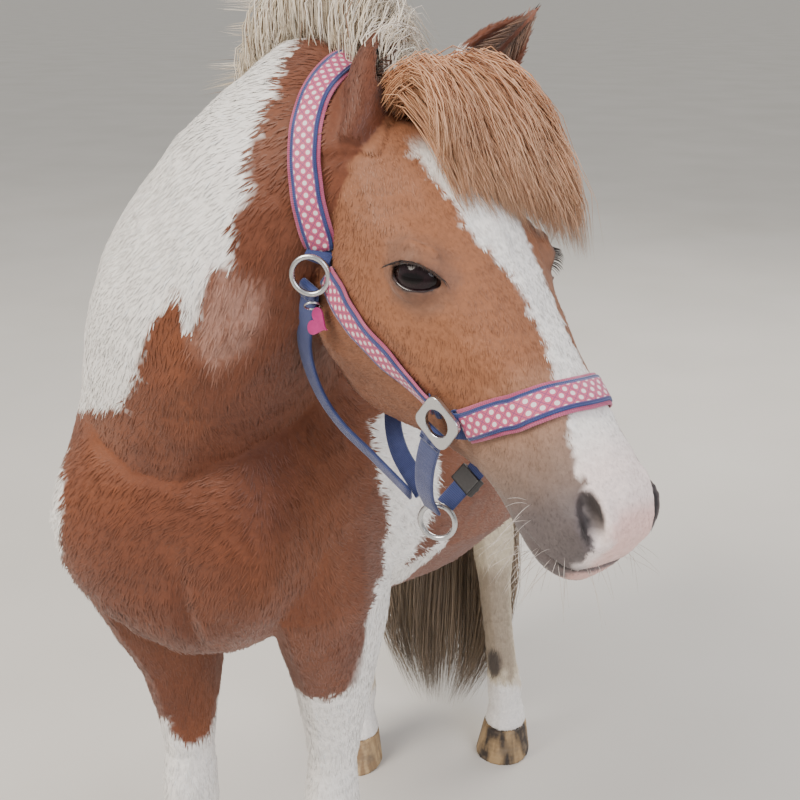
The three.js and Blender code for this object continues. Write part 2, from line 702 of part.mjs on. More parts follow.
// A slide buckle round the left strap of the jaw
const BUCKLE = { from: 0.58, to: 0.78, rim: 4 };
const jawPoints = JAW_ROUTE.map((p) => new THREE.Vector3(...p));
const jawCurve = new THREE.CatmullRomCurve3(jawPoints, false, 'centripetal');
const buckleRoute = [BUCKLE.from, BUCKLE.to].map((at) => jawCurve.getPoint(at).toArray());
const buckle = freeStrap(buckleRoute, sideOut, JAW_WIDTH + BUCKLE.rim, 1, 2)
  .subtract(freeStrap(JAW_ROUTE, sideOut, JAW_WIDTH, 5, NEAR));
addNode('halter_buckle', buckle, COLOURS.plastic, 0.4);

for (const [name, shape] of rings) addNode(`halter_${name}`, shape(0), COLOURS.steel, 0.3, 1);
const clearRings = joined(rings.map(([, shape]) => shape(NEAR)));
const earsClear = joined(['left', 'right'].map((side) => earSolid(earPlaces[side], NEAR)));
const besideStraps = [clearRings, headClear, neckOnHead(NEAR), earsClear];
for (const [name, shape, colour] of straps) {
  const clear = besideStraps.reduce((left, solidBeside) => left.subtract(solidBeside), shape(0));
  addNode(`halter_${name}`, clear, colour);
}

// Blank heart-shaped tag that hangs from the upper ring on the right
const TAG = { place: [-79, -108, -134], reach: 12, thick: 1.8, tilt: 0.4, turn: -1.42 };
function heart({ reach, thick }) {
  const shape = new THREE.Shape();
  shape.moveTo(0, -reach);
  shape.bezierCurveTo(-reach * 1.5, reach * 0.1, -reach, reach * 1.3, 0, reach * 0.55);
  shape.bezierCurveTo(reach, reach * 1.3, reach * 1.5, reach * 0.1, 0, -reach);
  return new THREE.ExtrudeGeometry(shape, { depth: thick, bevelEnabled: false, curveSegments: 6 });
}
const hungTag = heart(TAG).rotateZ(TAG.tilt).rotateY(TAG.turn).translate(...TAG.place);
addNode('halter_tag', solid(onHead(hungTag)), COLOURS.tag, 0.35);

// Long hair, each part one smooth form out to its tips
const bodiesClear = joined([bodyClear, headClear, earsClear, clearRings]);
const hairClear = joined([bodiesClear, ...straps.map(([, shape]) => shape(NEAR))]);

// Mane: it stands over the crest, more so toward the poll, and falls down the left side of the neck
const MANE = {
  rise: [52, 96],           // over the crest, at the withers and at the poll
  fall: 120,                // below the crest
  out: [-10, 92],           // of its top and of its tips, to the neck's left
  half: 16,                 // thickness
  ends: 0.6,                // size of both ends
  from: 0.02,
  to: 0.93,
  split: 0.5,               // between the two nodes
  steps: 9,
};
const crestRows = NECK_ROWS.slice(1);
const crest = new THREE.CatmullRomCurve3(
  crestRows.map((r) => new THREE.Vector3(r[0], r[1], r[2])), false, 'centripetal',
);

// A place on the crest, with the directions along it, away from the neck, and to the neck's left
function crestFrame(at) {
  const ahead = crest.getTangent(at);
  const row = blendRows(crestRows, crestRows.map((_, i) => i / (crestRows.length - 1)), at);
  const up = new THREE.Vector3(row[0] - row[3], row[1] - row[4], row[2] - row[5]).normalize();
  const left = up.clone().cross(ahead).normalize();
  return { root: crest.getPoint(at), ahead, up, left };
}

function maneForm() {
  const rows = [];
  for (let i = 0; i <= MANE.steps; i += 1) {
    const at = MANE.from + (MANE.to - MANE.from) * (i / MANE.steps);
    const { root, up, left } = crestFrame(at);
    const size = i === 0 || i === MANE.steps ? MANE.ends : 1;
    const rise = (MANE.rise[0] + (MANE.rise[1] - MANE.rise[0]) * at) * size;
    const top = root.clone().addScaledVector(up, rise).addScaledVector(left, MANE.out[0]);
    const low = root.clone().addScaledVector(up, -MANE.fall * size).addScaledVector(left, MANE.out[1]);
    rows.push([...top.toArray(), ...low.toArray(), 0.9 * MANE.half, MANE.half, MANE.half]);
  }
  return solid(loft(rows, 12, 1));
}

// Everything further along the crest than a place on it
function beyond(at) {
  const { root, ahead, up } = crestFrame(at);
  const turned = new THREE.Matrix4().lookAt(ahead, new THREE.Vector3(), up).setPosition(root);
  return solid(new THREE.BoxGeometry(600, 600, 600).translate(0, 0, 300).applyMatrix4(turned));
}

const mane = maneForm().subtract(hairClear);
addNode('mane_lower', mane.subtract(beyond(MANE.split)), COLOURS.mane, 0.7);
addNode('mane_upper', mane.intersect(beyond(MANE.split + GAP / crest.getLength())), COLOURS.mane, 0.7);

// Forelock: from the poll over the brow and down the left of the forehead
const FORELOCK_SHIFT = 36;
const FORELOCK_ROWS = [
  headRow(-14, 40, -6, 14, 24, 22),
  headRow(6, 50, -8, 26, 44, 38),
  headRow(45, 52, -4, 36, 58, 50),
  headRow(90, 46, -10, 36, 60, 54),
  headRow(130, 34, -20, 28, 50, 46),
  headRow(160, 18, -20, 14, 28, 26),
  headRow(172, 6, -10, 4, 8, 7),
].map((r) => [r[0] + FORELOCK_SHIFT, r[1], r[2], r[3] + FORELOCK_SHIFT, r[4], r[5], ...r.slice(6)]);
addNode('forelock', solid(onHead(loft(FORELOCK_ROWS, 16, 1))).subtract(hairClear), COLOURS.forelock, 0.7);

// Tail: its hair hangs from the dock past the hocks and sweeps forward to the floor
const TAIL_ROWS = [
  [-34, 405, 850, -34, 430, 800, 16, 24, 20],
  [-34, 440, 862, -34, 450, 796, 24, 34, 30],
  [-34, 490, 812, -34, 445, 752, 32, 48, 44],
  [-33, 518, 720, -33, 450, 695, 42, 64, 58],
  [-30, 526, 600, -30, 446, 590, 58, 90, 82],
  [-24, 520, 470, -24, 430, 468, 74, 112, 104],
  [-16, 500, 350, -16, 405, 350, 84, 128, 118],
  [-8, 465, 220, -8, 350, 235, 90, 136, 126],
  [6, 425, 118, 6, 312, 138, 80, 120, 110],
  [10, 396, 54, 10, 300, 70, 54, 82, 74],
  [10, 364, 12, 10, 318, 24, 20, 30, 26],
];
addNode('tail', solid(loft(TAIL_ROWS, 18, 1)).subtract(hairClear), COLOURS.tail, 0.75);

// Stand the whole on the middle of its footprint
const whole = new THREE.Box3().setFromObject(pony);
const middle = whole.getCenter(new THREE.Vector3());
for (const node of pony.children) node.geometry.translate(-middle.x, -middle.y, -whole.min.z);

export default pony;
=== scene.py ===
# Shetland pony, life size, standing with its head turned to its left, in a webbing halter.
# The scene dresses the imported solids: one skin over the flesh, a short coat, long hair in locks,
# eyes, hooves and the halter. Metres, +Z up. The pony faces -Y and its left side is +X.
import math

import bmesh
import bpy
import numpy as np
from mathutils import Matrix, Vector
from mathutils.bvhtree import BVHTree


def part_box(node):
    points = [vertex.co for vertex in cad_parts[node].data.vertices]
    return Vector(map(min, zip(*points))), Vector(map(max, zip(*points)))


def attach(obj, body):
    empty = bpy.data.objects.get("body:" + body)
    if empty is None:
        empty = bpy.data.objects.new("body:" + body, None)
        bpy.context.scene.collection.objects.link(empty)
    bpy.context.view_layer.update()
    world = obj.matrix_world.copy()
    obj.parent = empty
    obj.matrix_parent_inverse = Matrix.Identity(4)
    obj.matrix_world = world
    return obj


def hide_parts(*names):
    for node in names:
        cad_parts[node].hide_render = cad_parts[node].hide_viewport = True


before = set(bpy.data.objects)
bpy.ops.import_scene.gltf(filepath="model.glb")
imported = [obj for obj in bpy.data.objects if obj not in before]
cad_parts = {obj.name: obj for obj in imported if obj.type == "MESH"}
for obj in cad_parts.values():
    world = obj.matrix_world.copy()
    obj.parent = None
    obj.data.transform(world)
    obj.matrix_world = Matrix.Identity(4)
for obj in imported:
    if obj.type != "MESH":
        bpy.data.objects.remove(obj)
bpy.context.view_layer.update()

MM = 0.001
rng = np.random.default_rng(11)

# The head's own frame, in millimetres: x to its left, -y along the nose, z away from the jaw
HEAD_TURN = math.radians(58)
HEAD_DROP = math.radians(40)
HEAD_ROLL = math.radians(5)
EYE = Vector((56, -147, -29))
EYE_RADIUS = 22
POLL_ON_BODY = Vector((238, -442, 1118))
HEAD_AXES = (Matrix.Rotation(HEAD_TURN, 3, "Z") @ Matrix.Rotation(HEAD_DROP, 3, "X")
             @ Matrix.Rotation(HEAD_ROLL, 3, "Y"))
eye_low, eye_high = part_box("eye_left")
POLL = (eye_low + eye_high) / 2 - HEAD_AXES @ EYE * MM
BODY = POLL - POLL_ON_BODY * MM

# The camera, on the body's own frame
CAMERA_PLACE = Vector((590, -1379, 1213))
CAMERA_AHEAD = Vector((-0.337, 0.8828, -0.3272))
CAMERA_RIGHT = Vector((0.9342, 0.3567, 0.0))
LENS = 54.0
SENSOR = 36.0
IMAGE = 800
SIDES = (("left", 1), ("right", -1))


def on_head(points):
    """Places in the head's frame, in millimetres, as places in the scene."""
    return np.asarray(points, float) @ np.array(HEAD_AXES).T * MM + np.array(POLL)


def to_head(places):
    return (places - np.array(POLL)) @ np.array(HEAD_AXES) / MM


def on_body(points):
    return np.asarray(points, float) * MM + np.array(BODY)


def to_body(places):
    return (places - np.array(BODY)) / MM


def eye_centre(sign):
    """The middle of the left eye for a sign of 1, or of the right one for -1, in the head's frame."""
    return np.array((sign * EYE.x, EYE.y, EYE.z))


def unit(vectors):
    return vectors / np.maximum(np.linalg.norm(vectors, axis=-1, keepdims=True), 1e-9)


def smoothstep(low, high, value):
    at = np.clip((value - low) / (high - low), 0, 1)
    return at * at * (3 - 2 * at)


def waves(places, size, seed):
    """Soft random swells, from about -1 to 1, as wide as size, in the units of places."""
    draw = np.random.default_rng(seed)
    total = np.zeros(len(places))
    for _ in range(7):
        across = draw.normal(size=3)
        across *= 2 * math.pi / (size * draw.uniform(0.6, 1.7) * np.linalg.norm(across))
        total += np.sin(places @ across + draw.uniform(0, 2 * math.pi))
    return total / 3.2


def rgb(code):
    """An sRGB hex colour as linear numbers."""
    parts = [int(code[i:i + 2], 16) / 255 for i in (1, 3, 5)]
    return np.array([c / 12.92 if c <= 0.04045 else ((c + 0.055) / 1.055) ** 2.4 for c in parts])


def blend(below, above, share):
    return below + (above - below) * share[:, None]


# Camera

def image_place(places):
    """Where places in the scene fall in the picture, in pixels of an 800 pixel frame."""
    rel = to_body(places) - np.array(CAMERA_PLACE)
    ahead = np.array(CAMERA_AHEAD.normalized())
    right = np.array(CAMERA_RIGHT.normalized())
    up = np.cross(right, ahead)
    depth = rel @ ahead
    scale = LENS / SENSOR * IMAGE / depth
    return np.stack([IMAGE / 2 + rel @ right * scale, IMAGE / 2 - rel @ up * scale], axis=1)


def make_camera():
    data = bpy.data.cameras.new("camera")
    data.lens = LENS
    data.sensor_width = SENSOR
    data.clip_start = 0.05
    camera = bpy.data.objects.new("camera", data)
    bpy.context.scene.collection.objects.link(camera)
    ahead = CAMERA_AHEAD.normalized()
    right = CAMERA_RIGHT.normalized()
    turned = Matrix((right, right.cross(ahead), -ahead)).transposed()
    camera.matrix_world = Matrix.Translation(BODY + CAMERA_PLACE * MM) @ turned.to_4x4()
    bpy.context.scene.camera = camera


# Meshes

def new_object(name, mesh, material=None):
    made = bpy.data.objects.new(name, mesh)
    bpy.context.scene.collection.objects.link(made)
    if material is not None:
        mesh.materials.clear()
        mesh.materials.append(material)
    return made


def mesh_from(name, points, quads=None, triangles=None):
    """A smooth mesh from arrays of points, quads and triangles."""
    mesh = bpy.data.meshes.new(name)
    mesh.vertices.add(len(points))
    mesh.vertices.foreach_set("co", np.ascontiguousarray(points, np.float32).ravel())
    groups = [g for g in (quads, triangles) if g is not None and len(g)]
    corners = np.concatenate([g.ravel() for g in groups]).astype(np.int32)
    sizes = np.concatenate([np.full(len(g), g.shape[1]) for g in groups])
    mesh.loops.add(len(corners))
    mesh.loops.foreach_set("vertex_index", corners)
    mesh.polygons.add(len(sizes))
    starts = np.concatenate([[0], np.cumsum(sizes)[:-1]]).astype(np.int32)
    mesh.polygons.foreach_set("loop_start", starts)
    mesh.polygons.foreach_set("use_smooth", np.ones(len(sizes), bool))
    mesh.update(calc_edges=True)
    return mesh


def smooth_faces(mesh):
    mesh.polygons.foreach_set("use_smooth", np.ones(len(mesh.polygons), bool))
    return mesh


def mesh_of(shape, name):
    """The mesh of a finished bmesh."""
    mesh = bpy.data.meshes.new(name)
    shape.to_mesh(mesh)
    shape.free()
    return mesh


def move_points(mesh, places):
    mesh.vertices.foreach_set("co", places.astype(np.float32).ravel())
    mesh.update()


def join_model(piece, slot_name, *nodes):
    """Every piece rides on the one body, and may stand in for nodes of the solids. Its slot name is not used.
    """
    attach(piece, "root")
    if nodes:
        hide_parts(*nodes)


def corner_points(mesh):
    corners = np.empty(len(mesh.loops), np.int32)
    mesh.loops.foreach_get("vertex_index", corners)
    return corners


def set_colour(mesh, name, colours):
    layer = mesh.attributes.new(name, "FLOAT_COLOR", "POINT")
    rgba = np.ones((len(mesh.vertices), 4), np.float32)
    rgba[:, :3] = colours
    layer.data.foreach_set("color", rgba.ravel())


def points_of(mesh):
    co = np.empty(len(mesh.vertices) * 3)
    mesh.vertices.foreach_get("co", co)
    return co.reshape(-1, 3)


def normals_of(mesh):
    normal = np.empty(len(mesh.vertices) * 3)
    mesh.vertex_normals.foreach_get("vector", normal)
    return normal.reshape(-1, 3)


def with_modifier(source, kind, **settings):
    """The mesh that a modifier makes of a mesh."""
    holder = new_object("holder", source)
    modifier = holder.modifiers.new(kind, kind)
    for key, value in settings.items():
        setattr(modifier, key, value)
    bpy.context.view_layer.update()
    finished = holder.evaluated_get(bpy.context.evaluated_depsgraph_get())
    made = bpy.data.meshes.new_from_object(finished)
    bpy.data.objects.remove(holder)
    return made


def relax(places, edges, weight, rounds, swell=0.53):
    """Even out the points of a mesh. With swell the form keeps its size."""
    edges = edges[(weight > 0)[edges].any(axis=1)]
    used, numbers = np.unique(edges, return_inverse=True)
    first, second = numbers.reshape(-1, 2).T
    count = len(used)
    near = (np.bincount(first, minlength=count) + np.bincount(second, minlength=count))[:, None]
    some, share = places[used], weight[used]
    for _ in range(rounds):
        for step in ((0.5, -swell) if swell else (0.5,)):
            total = np.stack([
                np.bincount(first, some[second, axis], count)
                + np.bincount(second, some[first, axis], count)
                for axis in range(3)
            ], axis=1)
            some = some + (total / near - some) * (step * share)[:, None]
    eased = places.copy()
    eased[used] = some
    return eased


def edges_of(mesh):
    ends = np.empty(len(mesh.edges) * 2, np.int32)
    mesh.edges.foreach_get("vertices", ends)
    return ends.reshape(-1, 2)


# Skin

FLESH = ["head", "ear_left", "ear_right", "neck", "torso"]
FLESH += [f"{leg}_{part}_{side}" for leg in ("foreleg", "hindleg") for part in ("upper", "lower")
          for side in ("left", "right")]
CUT_CLOSE = 0.6 * MM         # the parted solids swell by this much, so that the cuts between them close
VOXEL = 2.8 * MM
SKIN_TRIANGLES = 188000
BODY_ROUNDS = 70             # how long the skin of the body, and then of the face, is evened out
FACE_ROUNDS = 6
BREAST_ROUNDS = 1800         # how long the fold between neck and breast is evened out
BREAST_LOWERED = 0.5         # a fold is filled in full, and the ridge by it is lowered by this share
COAT_DEPTH = 3.0 * MM        # from the solids' surface in to the skin, on the body
FACE_DEPTH = 0.9 * MM
EAR_DEPTH = 0.3 * MM
HEAD_MIDDLE = (0, -170, -60)  # in the head's frame, and how far round it the head's own forms reach
HEAD_REACH = 300
FOOT = (0.075, 0.045)        # the skin is left as it is from here down to the hoof


def flesh_union():
    shell = bmesh.new()
    for name in FLESH:
        shell.from_mesh(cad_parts[name].data)
    bmesh.ops.remove_doubles(shell, verts=shell.verts, dist=1e-6)
    shell.normal_update()
    for vertex in shell.verts:
        vertex.co += vertex.normal * CUT_CLOSE
    return with_modifier(mesh_of(shell, "flesh"), "REMESH", mode="VOXEL", voxel_size=VOXEL, adaptivity=0.0)


def near_line(places, line):
    """The distance from each place to a line through points."""
    best = np.full(len(places), np.inf)
    for start, end in zip(line[:-1], line[1:]):
        start, end = np.array(start, float), np.array(end, float)
        along = end - start
        at = np.clip((places - start) @ along / (along @ along), 0, 1)
        best = np.minimum(best, np.linalg.norm(places - start - at[:, None] * along, axis=1))
    return best


def mound(places, centre, reach):
    far = (places - np.array(centre, float)) / np.array(reach, float)
    return np.exp(-np.sum(far * far, axis=1) * 2)


# Forms of the head: a line, its width, and how far the skin stands out there
FACE_LINES = [
    ([(66, -150, -62), (60, -180, -74), (54, -215, -84), (49, -240, -88)], 9, 3.2),  # crest of the cheek
    ([(60, -170, -94), (56, -200, -100), (50, -232, -104)], 10, -2.2),  # under the crest
    ([(32, -170, 0), (27, -210, -4), (25, -260, -9), (27, -300, -15)], 8, 1.8),  # edge of the nose bone
    ([(44, -250, -38), (44, -290, -42), (44, -320, -46)], 12, -2.6),  # before the nostril
    ([(77, -118, -42), (76, -135, -50), (70, -158, -46), (60, -174, -30)], 4, -1.8),  # under the lower lid
    ([(76, -112, -24), (70, -122, -8), (58, -142, 3), (44, -160, 2)], 4, -2.0),  # over the upper lid
    ([(78, -110, -32), (80, -118, -20), (74, -128, -12), (60, -146, -2)], 5, 2.2),  # upper lid
    ([(44, -352, -24), (48, -368, -36), (44, -384, -48), (34, -390, -52)], 5, 2.6),  # outer nostril wing
    ([(30, -348, -22), (24, -366, -24), (20, -384, -34), (22, -392, -48)], 5, 2.0),  # inner nostril wing
    ([(46, -330, -86), (46, -350, -80), (42, -372, -76), (30, -386, -76)], 4, 1.6),  # edge of the upper lip
    ([(46, -334, -98), (44, -352, -95), (38, -372, -93), (20, -384, -92)], 5, 1.8),  # edge of the lower lip
    ([(50, -318, -66), (50, -340, -62), (46, -360, -58)], 5, -1.6),  # behind the nostril
    ([(72, -90, -150), (66, -110, -176), (52, -130, -196), (34, -160, -204)], 12, 2.0),  # edge of the jaw
    ([(64, -200, -66), (60, -224, -74), (56, -252, -84)], 3, 1.4),  # vein of the cheek
]
MOUTH_LINE = [(47, -326, -95), (48, -345, -90), (44, -368, -84), (32, -385, -79), (14, -392, -77),
              (0, -394, -77)]
MOUTH_DEPTH = 4.2
MOUTH_WIDTH = 2.4
# Forms of the body: a place, its reach, and how far the skin stands out there
BODY_FORMS = [
    ((36, -500, 640), (12, 60, 70), -7),      # groove between the breast muscles
    ((-26, -505, 700), (60, 40, 60), 4),
    ((98, -500, 690), (50, 50, 60), 4),
    ((150, -360, 640), (30, 40, 110), 5),     # points of the shoulders
    ((-150, -390, 640), (30, 40, 110), 5),
    ((170, -250, 760), (40, 26, 120), -4),    # hollow behind the shoulder blade
    ((-190, -240, 760), (40, 26, 120), -4),
    ((86, -330, 292), (34, 30, 34), 3),       # knees
    ((-86, -368, 292), (34, 30, 34), 3),
    ((128, -262, 292), (8, 14, 24), 2),
    ((118, 392, 372), (20, 18, 26), 3),       # points of the hocks
    ((-108, 330, 372), (20, 18, 26), 3),
    ((0, 250, 905), (30, 200, 30), -3),       # crease of the croup
]


def eye_distance(head):
    """The distance from each place to the middle of the nearer eye."""
    return np.minimum(*(np.linalg.norm(head - eye_centre(sign), axis=1) for _, sign in SIDES))


def mirrored(line):
    return [(-x, y, z) for x, y, z in line]


def shape_skin(places):
    """How far each place of the skin is pushed out along its normal."""
    head = to_head(places)
    body = to_body(places)
    push = np.zeros(len(places))
    face = head[:, 1] < -60
    local = head[face]
    out = np.zeros(len(local))
    for line, width, high in FACE_LINES:
        for one in (line, mirrored(line)):
            out += high * np.exp(-(near_line(local, one) / width) ** 2)
    for one in (MOUTH_LINE, mirrored(MOUTH_LINE)):
        out -= MOUTH_DEPTH * np.exp(-(near_line(local, one) / MOUTH_WIDTH) ** 2)
    out += 0.35 * waves(local, 26, 5) + 0.2 * waves(local, 9, 6)
    push[face] = out
    for centre, reach, high in BODY_FORMS:
        push += high * mound(body, centre, reach)
    calm = smoothstep(-150, -60, head[:, 1])
    push += calm * (0.9 * waves(body, 90, 7) + 0.35 * waves(body, 34, 8))
    return push * MM


def make_skin_mesh():
    mesh = flesh_union()
    places = points_of(mesh)
    edges = edges_of(mesh)
    head = to_head(places)
    near_head = (np.linalg.norm(head - np.array(HEAD_MIDDLE), axis=1) < HEAD_REACH) & (head[:, 1] < 0)
    ear = np.zeros(len(places), bool)
    for side in ("left", "right"):
        low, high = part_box(f"ear_{side}")
        ear |= np.all((places > np.array(low) - 0.004) & (places < np.array(high) + 0.004), axis=1)
    body_weight = smoothstep(-20, 60, head[:, 1]) * (1 - ear)
    foot = smoothstep(*FOOT, places[:, 2])
    body_weight = body_weight * (1 - foot)
    places = relax(places, edges, body_weight, BODY_ROUNDS)
    body = to_body(places)
    breast = smoothstep(-100, -200, body[:, 1]) * smoothstep(560, 640, body[:, 2])
    breast = breast * smoothstep(1100, 1000, body[:, 2]) * smoothstep(-30, 40, head[:, 1])
    move_points(mesh, places)
    normals = normals_of(mesh)
    eased = relax(places, edges, breast, BREAST_ROUNDS, swell=0)
    filled = np.sum((eased - places) * normals, axis=1)
    places = places + normals * np.where(filled > 0, filled, BREAST_LOWERED * filled)[:, None]
    places = relax(places, edges, breast, BREAST_ROUNDS // 8, swell=0)
    face_weight = np.where(near_head | ear, 1.0, 0.6) * (1 - foot)
    eyes = eye_distance(head)
    calm = smoothstep(27, 40, eyes)
    places = relax(places, edges, face_weight * (0.25 + 0.75 * calm), FACE_ROUNDS)
    move_points(mesh, places)
    normals = normals_of(mesh)
    behind = smoothstep(-140, 20, head[:, 1])
    depth = np.where(ear, EAR_DEPTH, FACE_DEPTH + (COAT_DEPTH - FACE_DEPTH) * behind)
    depth = depth * (0.35 + 0.65 * smoothstep(0.06, 0.5, places[:, 2]))
    depth = depth * np.where(ear, 1, smoothstep(22, 34, eyes))
    places = places + normals * (shape_skin(places) - depth)[:, None]
    move_points(mesh, places)
    share = SKIN_TRIANGLES / (2 * len(mesh.polygons))
    return with_modifier(mesh, "DECIMATE", ratio=share, use_collapse_triangulate=True)


# Regions of the skin: each is unwrapped round its own middle line, and has its own lie of the hair

REGIONS = {
    "trunk": (["torso"], (0, 1, 0), (0, 0, -1)),
    "neck": (["neck"], (-0.62, 0.62, -0.48), (-0.5, 0.2, 0.84)),
    "head": (["head"], None, None),
    "ear_left": (["ear_left"], None, None),
    "ear_right": (["ear_right"], None, None),
    "foreleg_left": (["foreleg_upper_left", "foreleg_lower_left"], (0, 0.05, -1), (0, 1, 0)),
    "foreleg_right": (["foreleg_upper_right", "foreleg_lower_right"], (0, 0.05, -1), (0, 1, 0)),
    "hindleg_left": (["hindleg_upper_left", "hindleg_lower_left"], (0.1, 0.1, -1), (0, 1, 0)),
    "hindleg_right": (["hindleg_upper_right", "hindleg_lower_right"], (0.05, 0.1, -1), (0, 1, 0)),
}
REGION_NAMES = list(REGIONS)
UNWRAP_RINGS = 14
CELLS = 3                    # the shared map is this many squares each way
CELL_MARGIN = 0.02
HAIR_SWIRL = 0.22            # how far the lie of the hair wanders, in swirls of this size in metres
SWIRL_SIZE = 0.16
CUT_ROOM = 0.8               # radians past the cut, for the faces that cross it


def axis_of(name):
    """The direction along a region's middle line, and the side where its unwrap is cut open."""
    nodes, along, cut = REGIONS[name]
    if name == "head":
        return HEAD_AXES @ Vector((0, -1, -0.25)).normalized(), HEAD_AXES @ Vector((0, 0, -1))
    if name.startswith("ear"):
        low, high = (Vector(c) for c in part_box(nodes[0]))
        return (high - Vector((POLL.x, POLL.y, low.z))).normalized(), HEAD_AXES @ Vector((0, 1, 0))
    return Vector(along).normalized(), Vector(cut)


def nearest_regions(places):
    """Which region each place belongs to, from the nearest flesh node."""
    shell = bmesh.new()
    owner = []
    for index, name in enumerate(REGION_NAMES):
        for node in REGIONS[name][0]:
            before = len(shell.faces)
            shell.from_mesh(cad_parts[node].data)
            owner += [index] * (len(shell.faces) - before)
    tree = BVHTree.FromBMesh(shell)
    shell.free()
    return np.array([owner[tree.find_nearest(Vector(p))[2]] for p in places])


def unwrap_of(name, places):
    """A function that lays a region's places out flat: the angle round it, and the share along it."""
    along, cut = (np.array(v) for v in axis_of(name))
    first = -unit(cut - along * (cut @ along))
    second = np.cross(along, first)
    length = places @ along
    low, high = length.min(), length.max()
    ring = np.clip(((length - low) / (high - low) * UNWRAP_RINGS).astype(int), 0, UNWRAP_RINGS - 1)
    counts = np.bincount(ring, minlength=UNWRAP_RINGS)
    seen = counts > 0
    centres = [np.bincount(ring, places[:, k], UNWRAP_RINGS)[seen] / counts[seen] for k in range(3)]
    knots = (low + (np.arange(UNWRAP_RINGS) + 0.5) / UNWRAP_RINGS * (high - low))[seen]

    def flat(some):
        run = some @ along
        offset = some - np.stack([np.interp(run, knots, one) for one in centres], axis=1)
        return np.arctan2(offset @ second, offset @ first), np.clip((run - low) / (high - low), 0, 1)

    return flat


def bake_place(region_index, angle, share):
    """A place on the shared map, where each region has its own square."""
    across = (angle + math.pi) / (2 * math.pi + CUT_ROOM)
    inner = 1 - 2 * CELL_MARGIN
    u = (region_index % CELLS + CELL_MARGIN + inner * across) / CELLS
    v = (region_index // CELLS + CELL_MARGIN + inner * share) / CELLS
    return np.stack([u, v], axis=-1)


def hair_lie(places, normals, region_index):
    """The direction along the skin in which the hair lies."""
    head = to_head(places)
    body = to_body(places)
    flow = np.zeros_like(places)
    axes = np.array(HEAD_AXES)
    for index, name in enumerate(REGION_NAMES):
        mine = region_index == index
        if name == "trunk":
            chest = smoothstep(-330, -440, body[mine, 1])
            flow[mine] = blend(np.array([0, 0.9, -0.38]), np.array([0, 0.1, -1.0]), chest)
        elif name == "neck":
            flow[mine] = np.array([-0.45, 0.35, -0.75])
        elif name == "head":
            cheek = smoothstep(-20, -110, head[mine, 2])
            flow[mine] = blend(np.array([0, -1, -0.1]), np.array([0, 0.35, -0.9]), cheek) @ axes.T
        elif name.startswith("ear"):
            flow[mine] = np.array(axis_of(name)[0])
        else:
            flow[mine] = np.array([0, 0.12, -1.0])
    flow += HAIR_SWIRL * np.stack([waves(places, SWIRL_SIZE, 21 + k) for k in range(3)], axis=1)
    flow -= normals * np.sum(flow * normals, axis=1, keepdims=True)
    return unit(flow)


# Markings. The places of their edges are real ones on the head, and pixels of the picture elsewhere.

CHESTNUT = rgb("#743f25")
CHESTNUT_DARK = rgb("#582d1b")
CHESTNUT_WARM = rgb("#8b502c")
WHITE_COAT = rgb("#f5f1ec")
CREAM = rgb("#d8c9ae")
PINK_SKIN = rgb("#e6b5ab")
PALE_MUZZLE = rgb("#f3dcd6")
SLATE = rgb("#5d5556")
GREY_BROWN = rgb("#7d695e")
NEAR_BLACK = rgb("#1c1516")
SHADOW_GREY = rgb("#5b4c45")

BLAZE_DOWN = [90, 122, 146, 171, 195, 217, 243, 264, 290, 313, 337, 400]
BLAZE_RIGHT = [-25, -26, -23, -13, -6, -7, -8, -14, -19, -26, -33, -34]
BLAZE_LEFT = [44, 42, 33, 29, 29, 27, 25, 25, 27, 30, 33, 34]
# The white of the neck and right shoulder, left of this line in the picture
NECK_WHITE_EDGE = [(386, -40), (386, 26), (356, 15), (321, 18), (292, 50), (277, 85), (262, 120), (250, 150),
                   (247, 180), (249, 203), (235, 213), (232, 243), (234, 268), (212, 268), (200, 300),
                   (187, 348), (181, 318), (184, 300), (176, 295), (166, 304), (147, 329), (142, 352),
                   (130, 390), (121, 408), (78, 408), (71, 417), (67, 448), (64, 480), (62, 560),
                   (-200, 560), (-200, -40)]
ROAN_PATCH = [(234, 266), (212, 268), (203, 295), (190, 345), (215, 372), (248, 350), (266, 318), (268, 288)]
SHOULDER_BAND = [(367, 423), (375, 461), (383, 493), (387, 531), (381, 564), (383, 577), (375, 583),
                 (372, 602), (367, 622), (363, 672), (350, 700), (380, 740), (390, 690), (380, 654),
                 (386, 610), (395, 579), (413, 554), (424, 533), (436, 500), (440, 470), (430, 440),
                 (400, 405)]
SORREL_FACE = rgb("#a4704f")
TAWNY = rgb("#a88770")
ROAN = rgb("#b98f7f")
HOCK_BROWN = rgb("#8d7b6b")
HOCK_SPOT = rgb("#3c3431")
# Painted shade inside each ear's cup, deeper in the right ear
EAR_CUP_SHADE = {"ear_left": rgb("#8a5a48"), "ear_right": rgb("#4a3530")}
NOSTRIL = (35, -369, -33)         # in the head's frame, with its half-sizes across, down and through
# The half-sizes of the painted shade in a nostril's opening
NOSTRIL_SHADE_REACH = (10, 22, 9)
NOSTRIL_TURN = 0.5
# Half the width of an ear's cup, by the height over its root, in millimetres
CUP_HEIGHTS = [0, 24, 48, 74, 95, 112]
CUP_HALVES = [12, 18, 21, 17, 9, 3]
EAR_PLACES = {"left": ((44, 2, -8), -24, 41, -40), "right": ((-43, -4, -12), -72, 34, 40)}


def ear_axes(side):
    """The ear's own frame in the head's: its root, and its across, front-to-back and up directions."""
    root, lean, spread, turn = EAR_PLACES[side]
    turned = Matrix.Rotation(math.radians(lean), 3, "X") @ Matrix.Rotation(math.radians(spread), 3, "Y")
    return np.array(root, float), np.array(turned @ Matrix.Rotation(math.radians(turn), 3, "Z"))


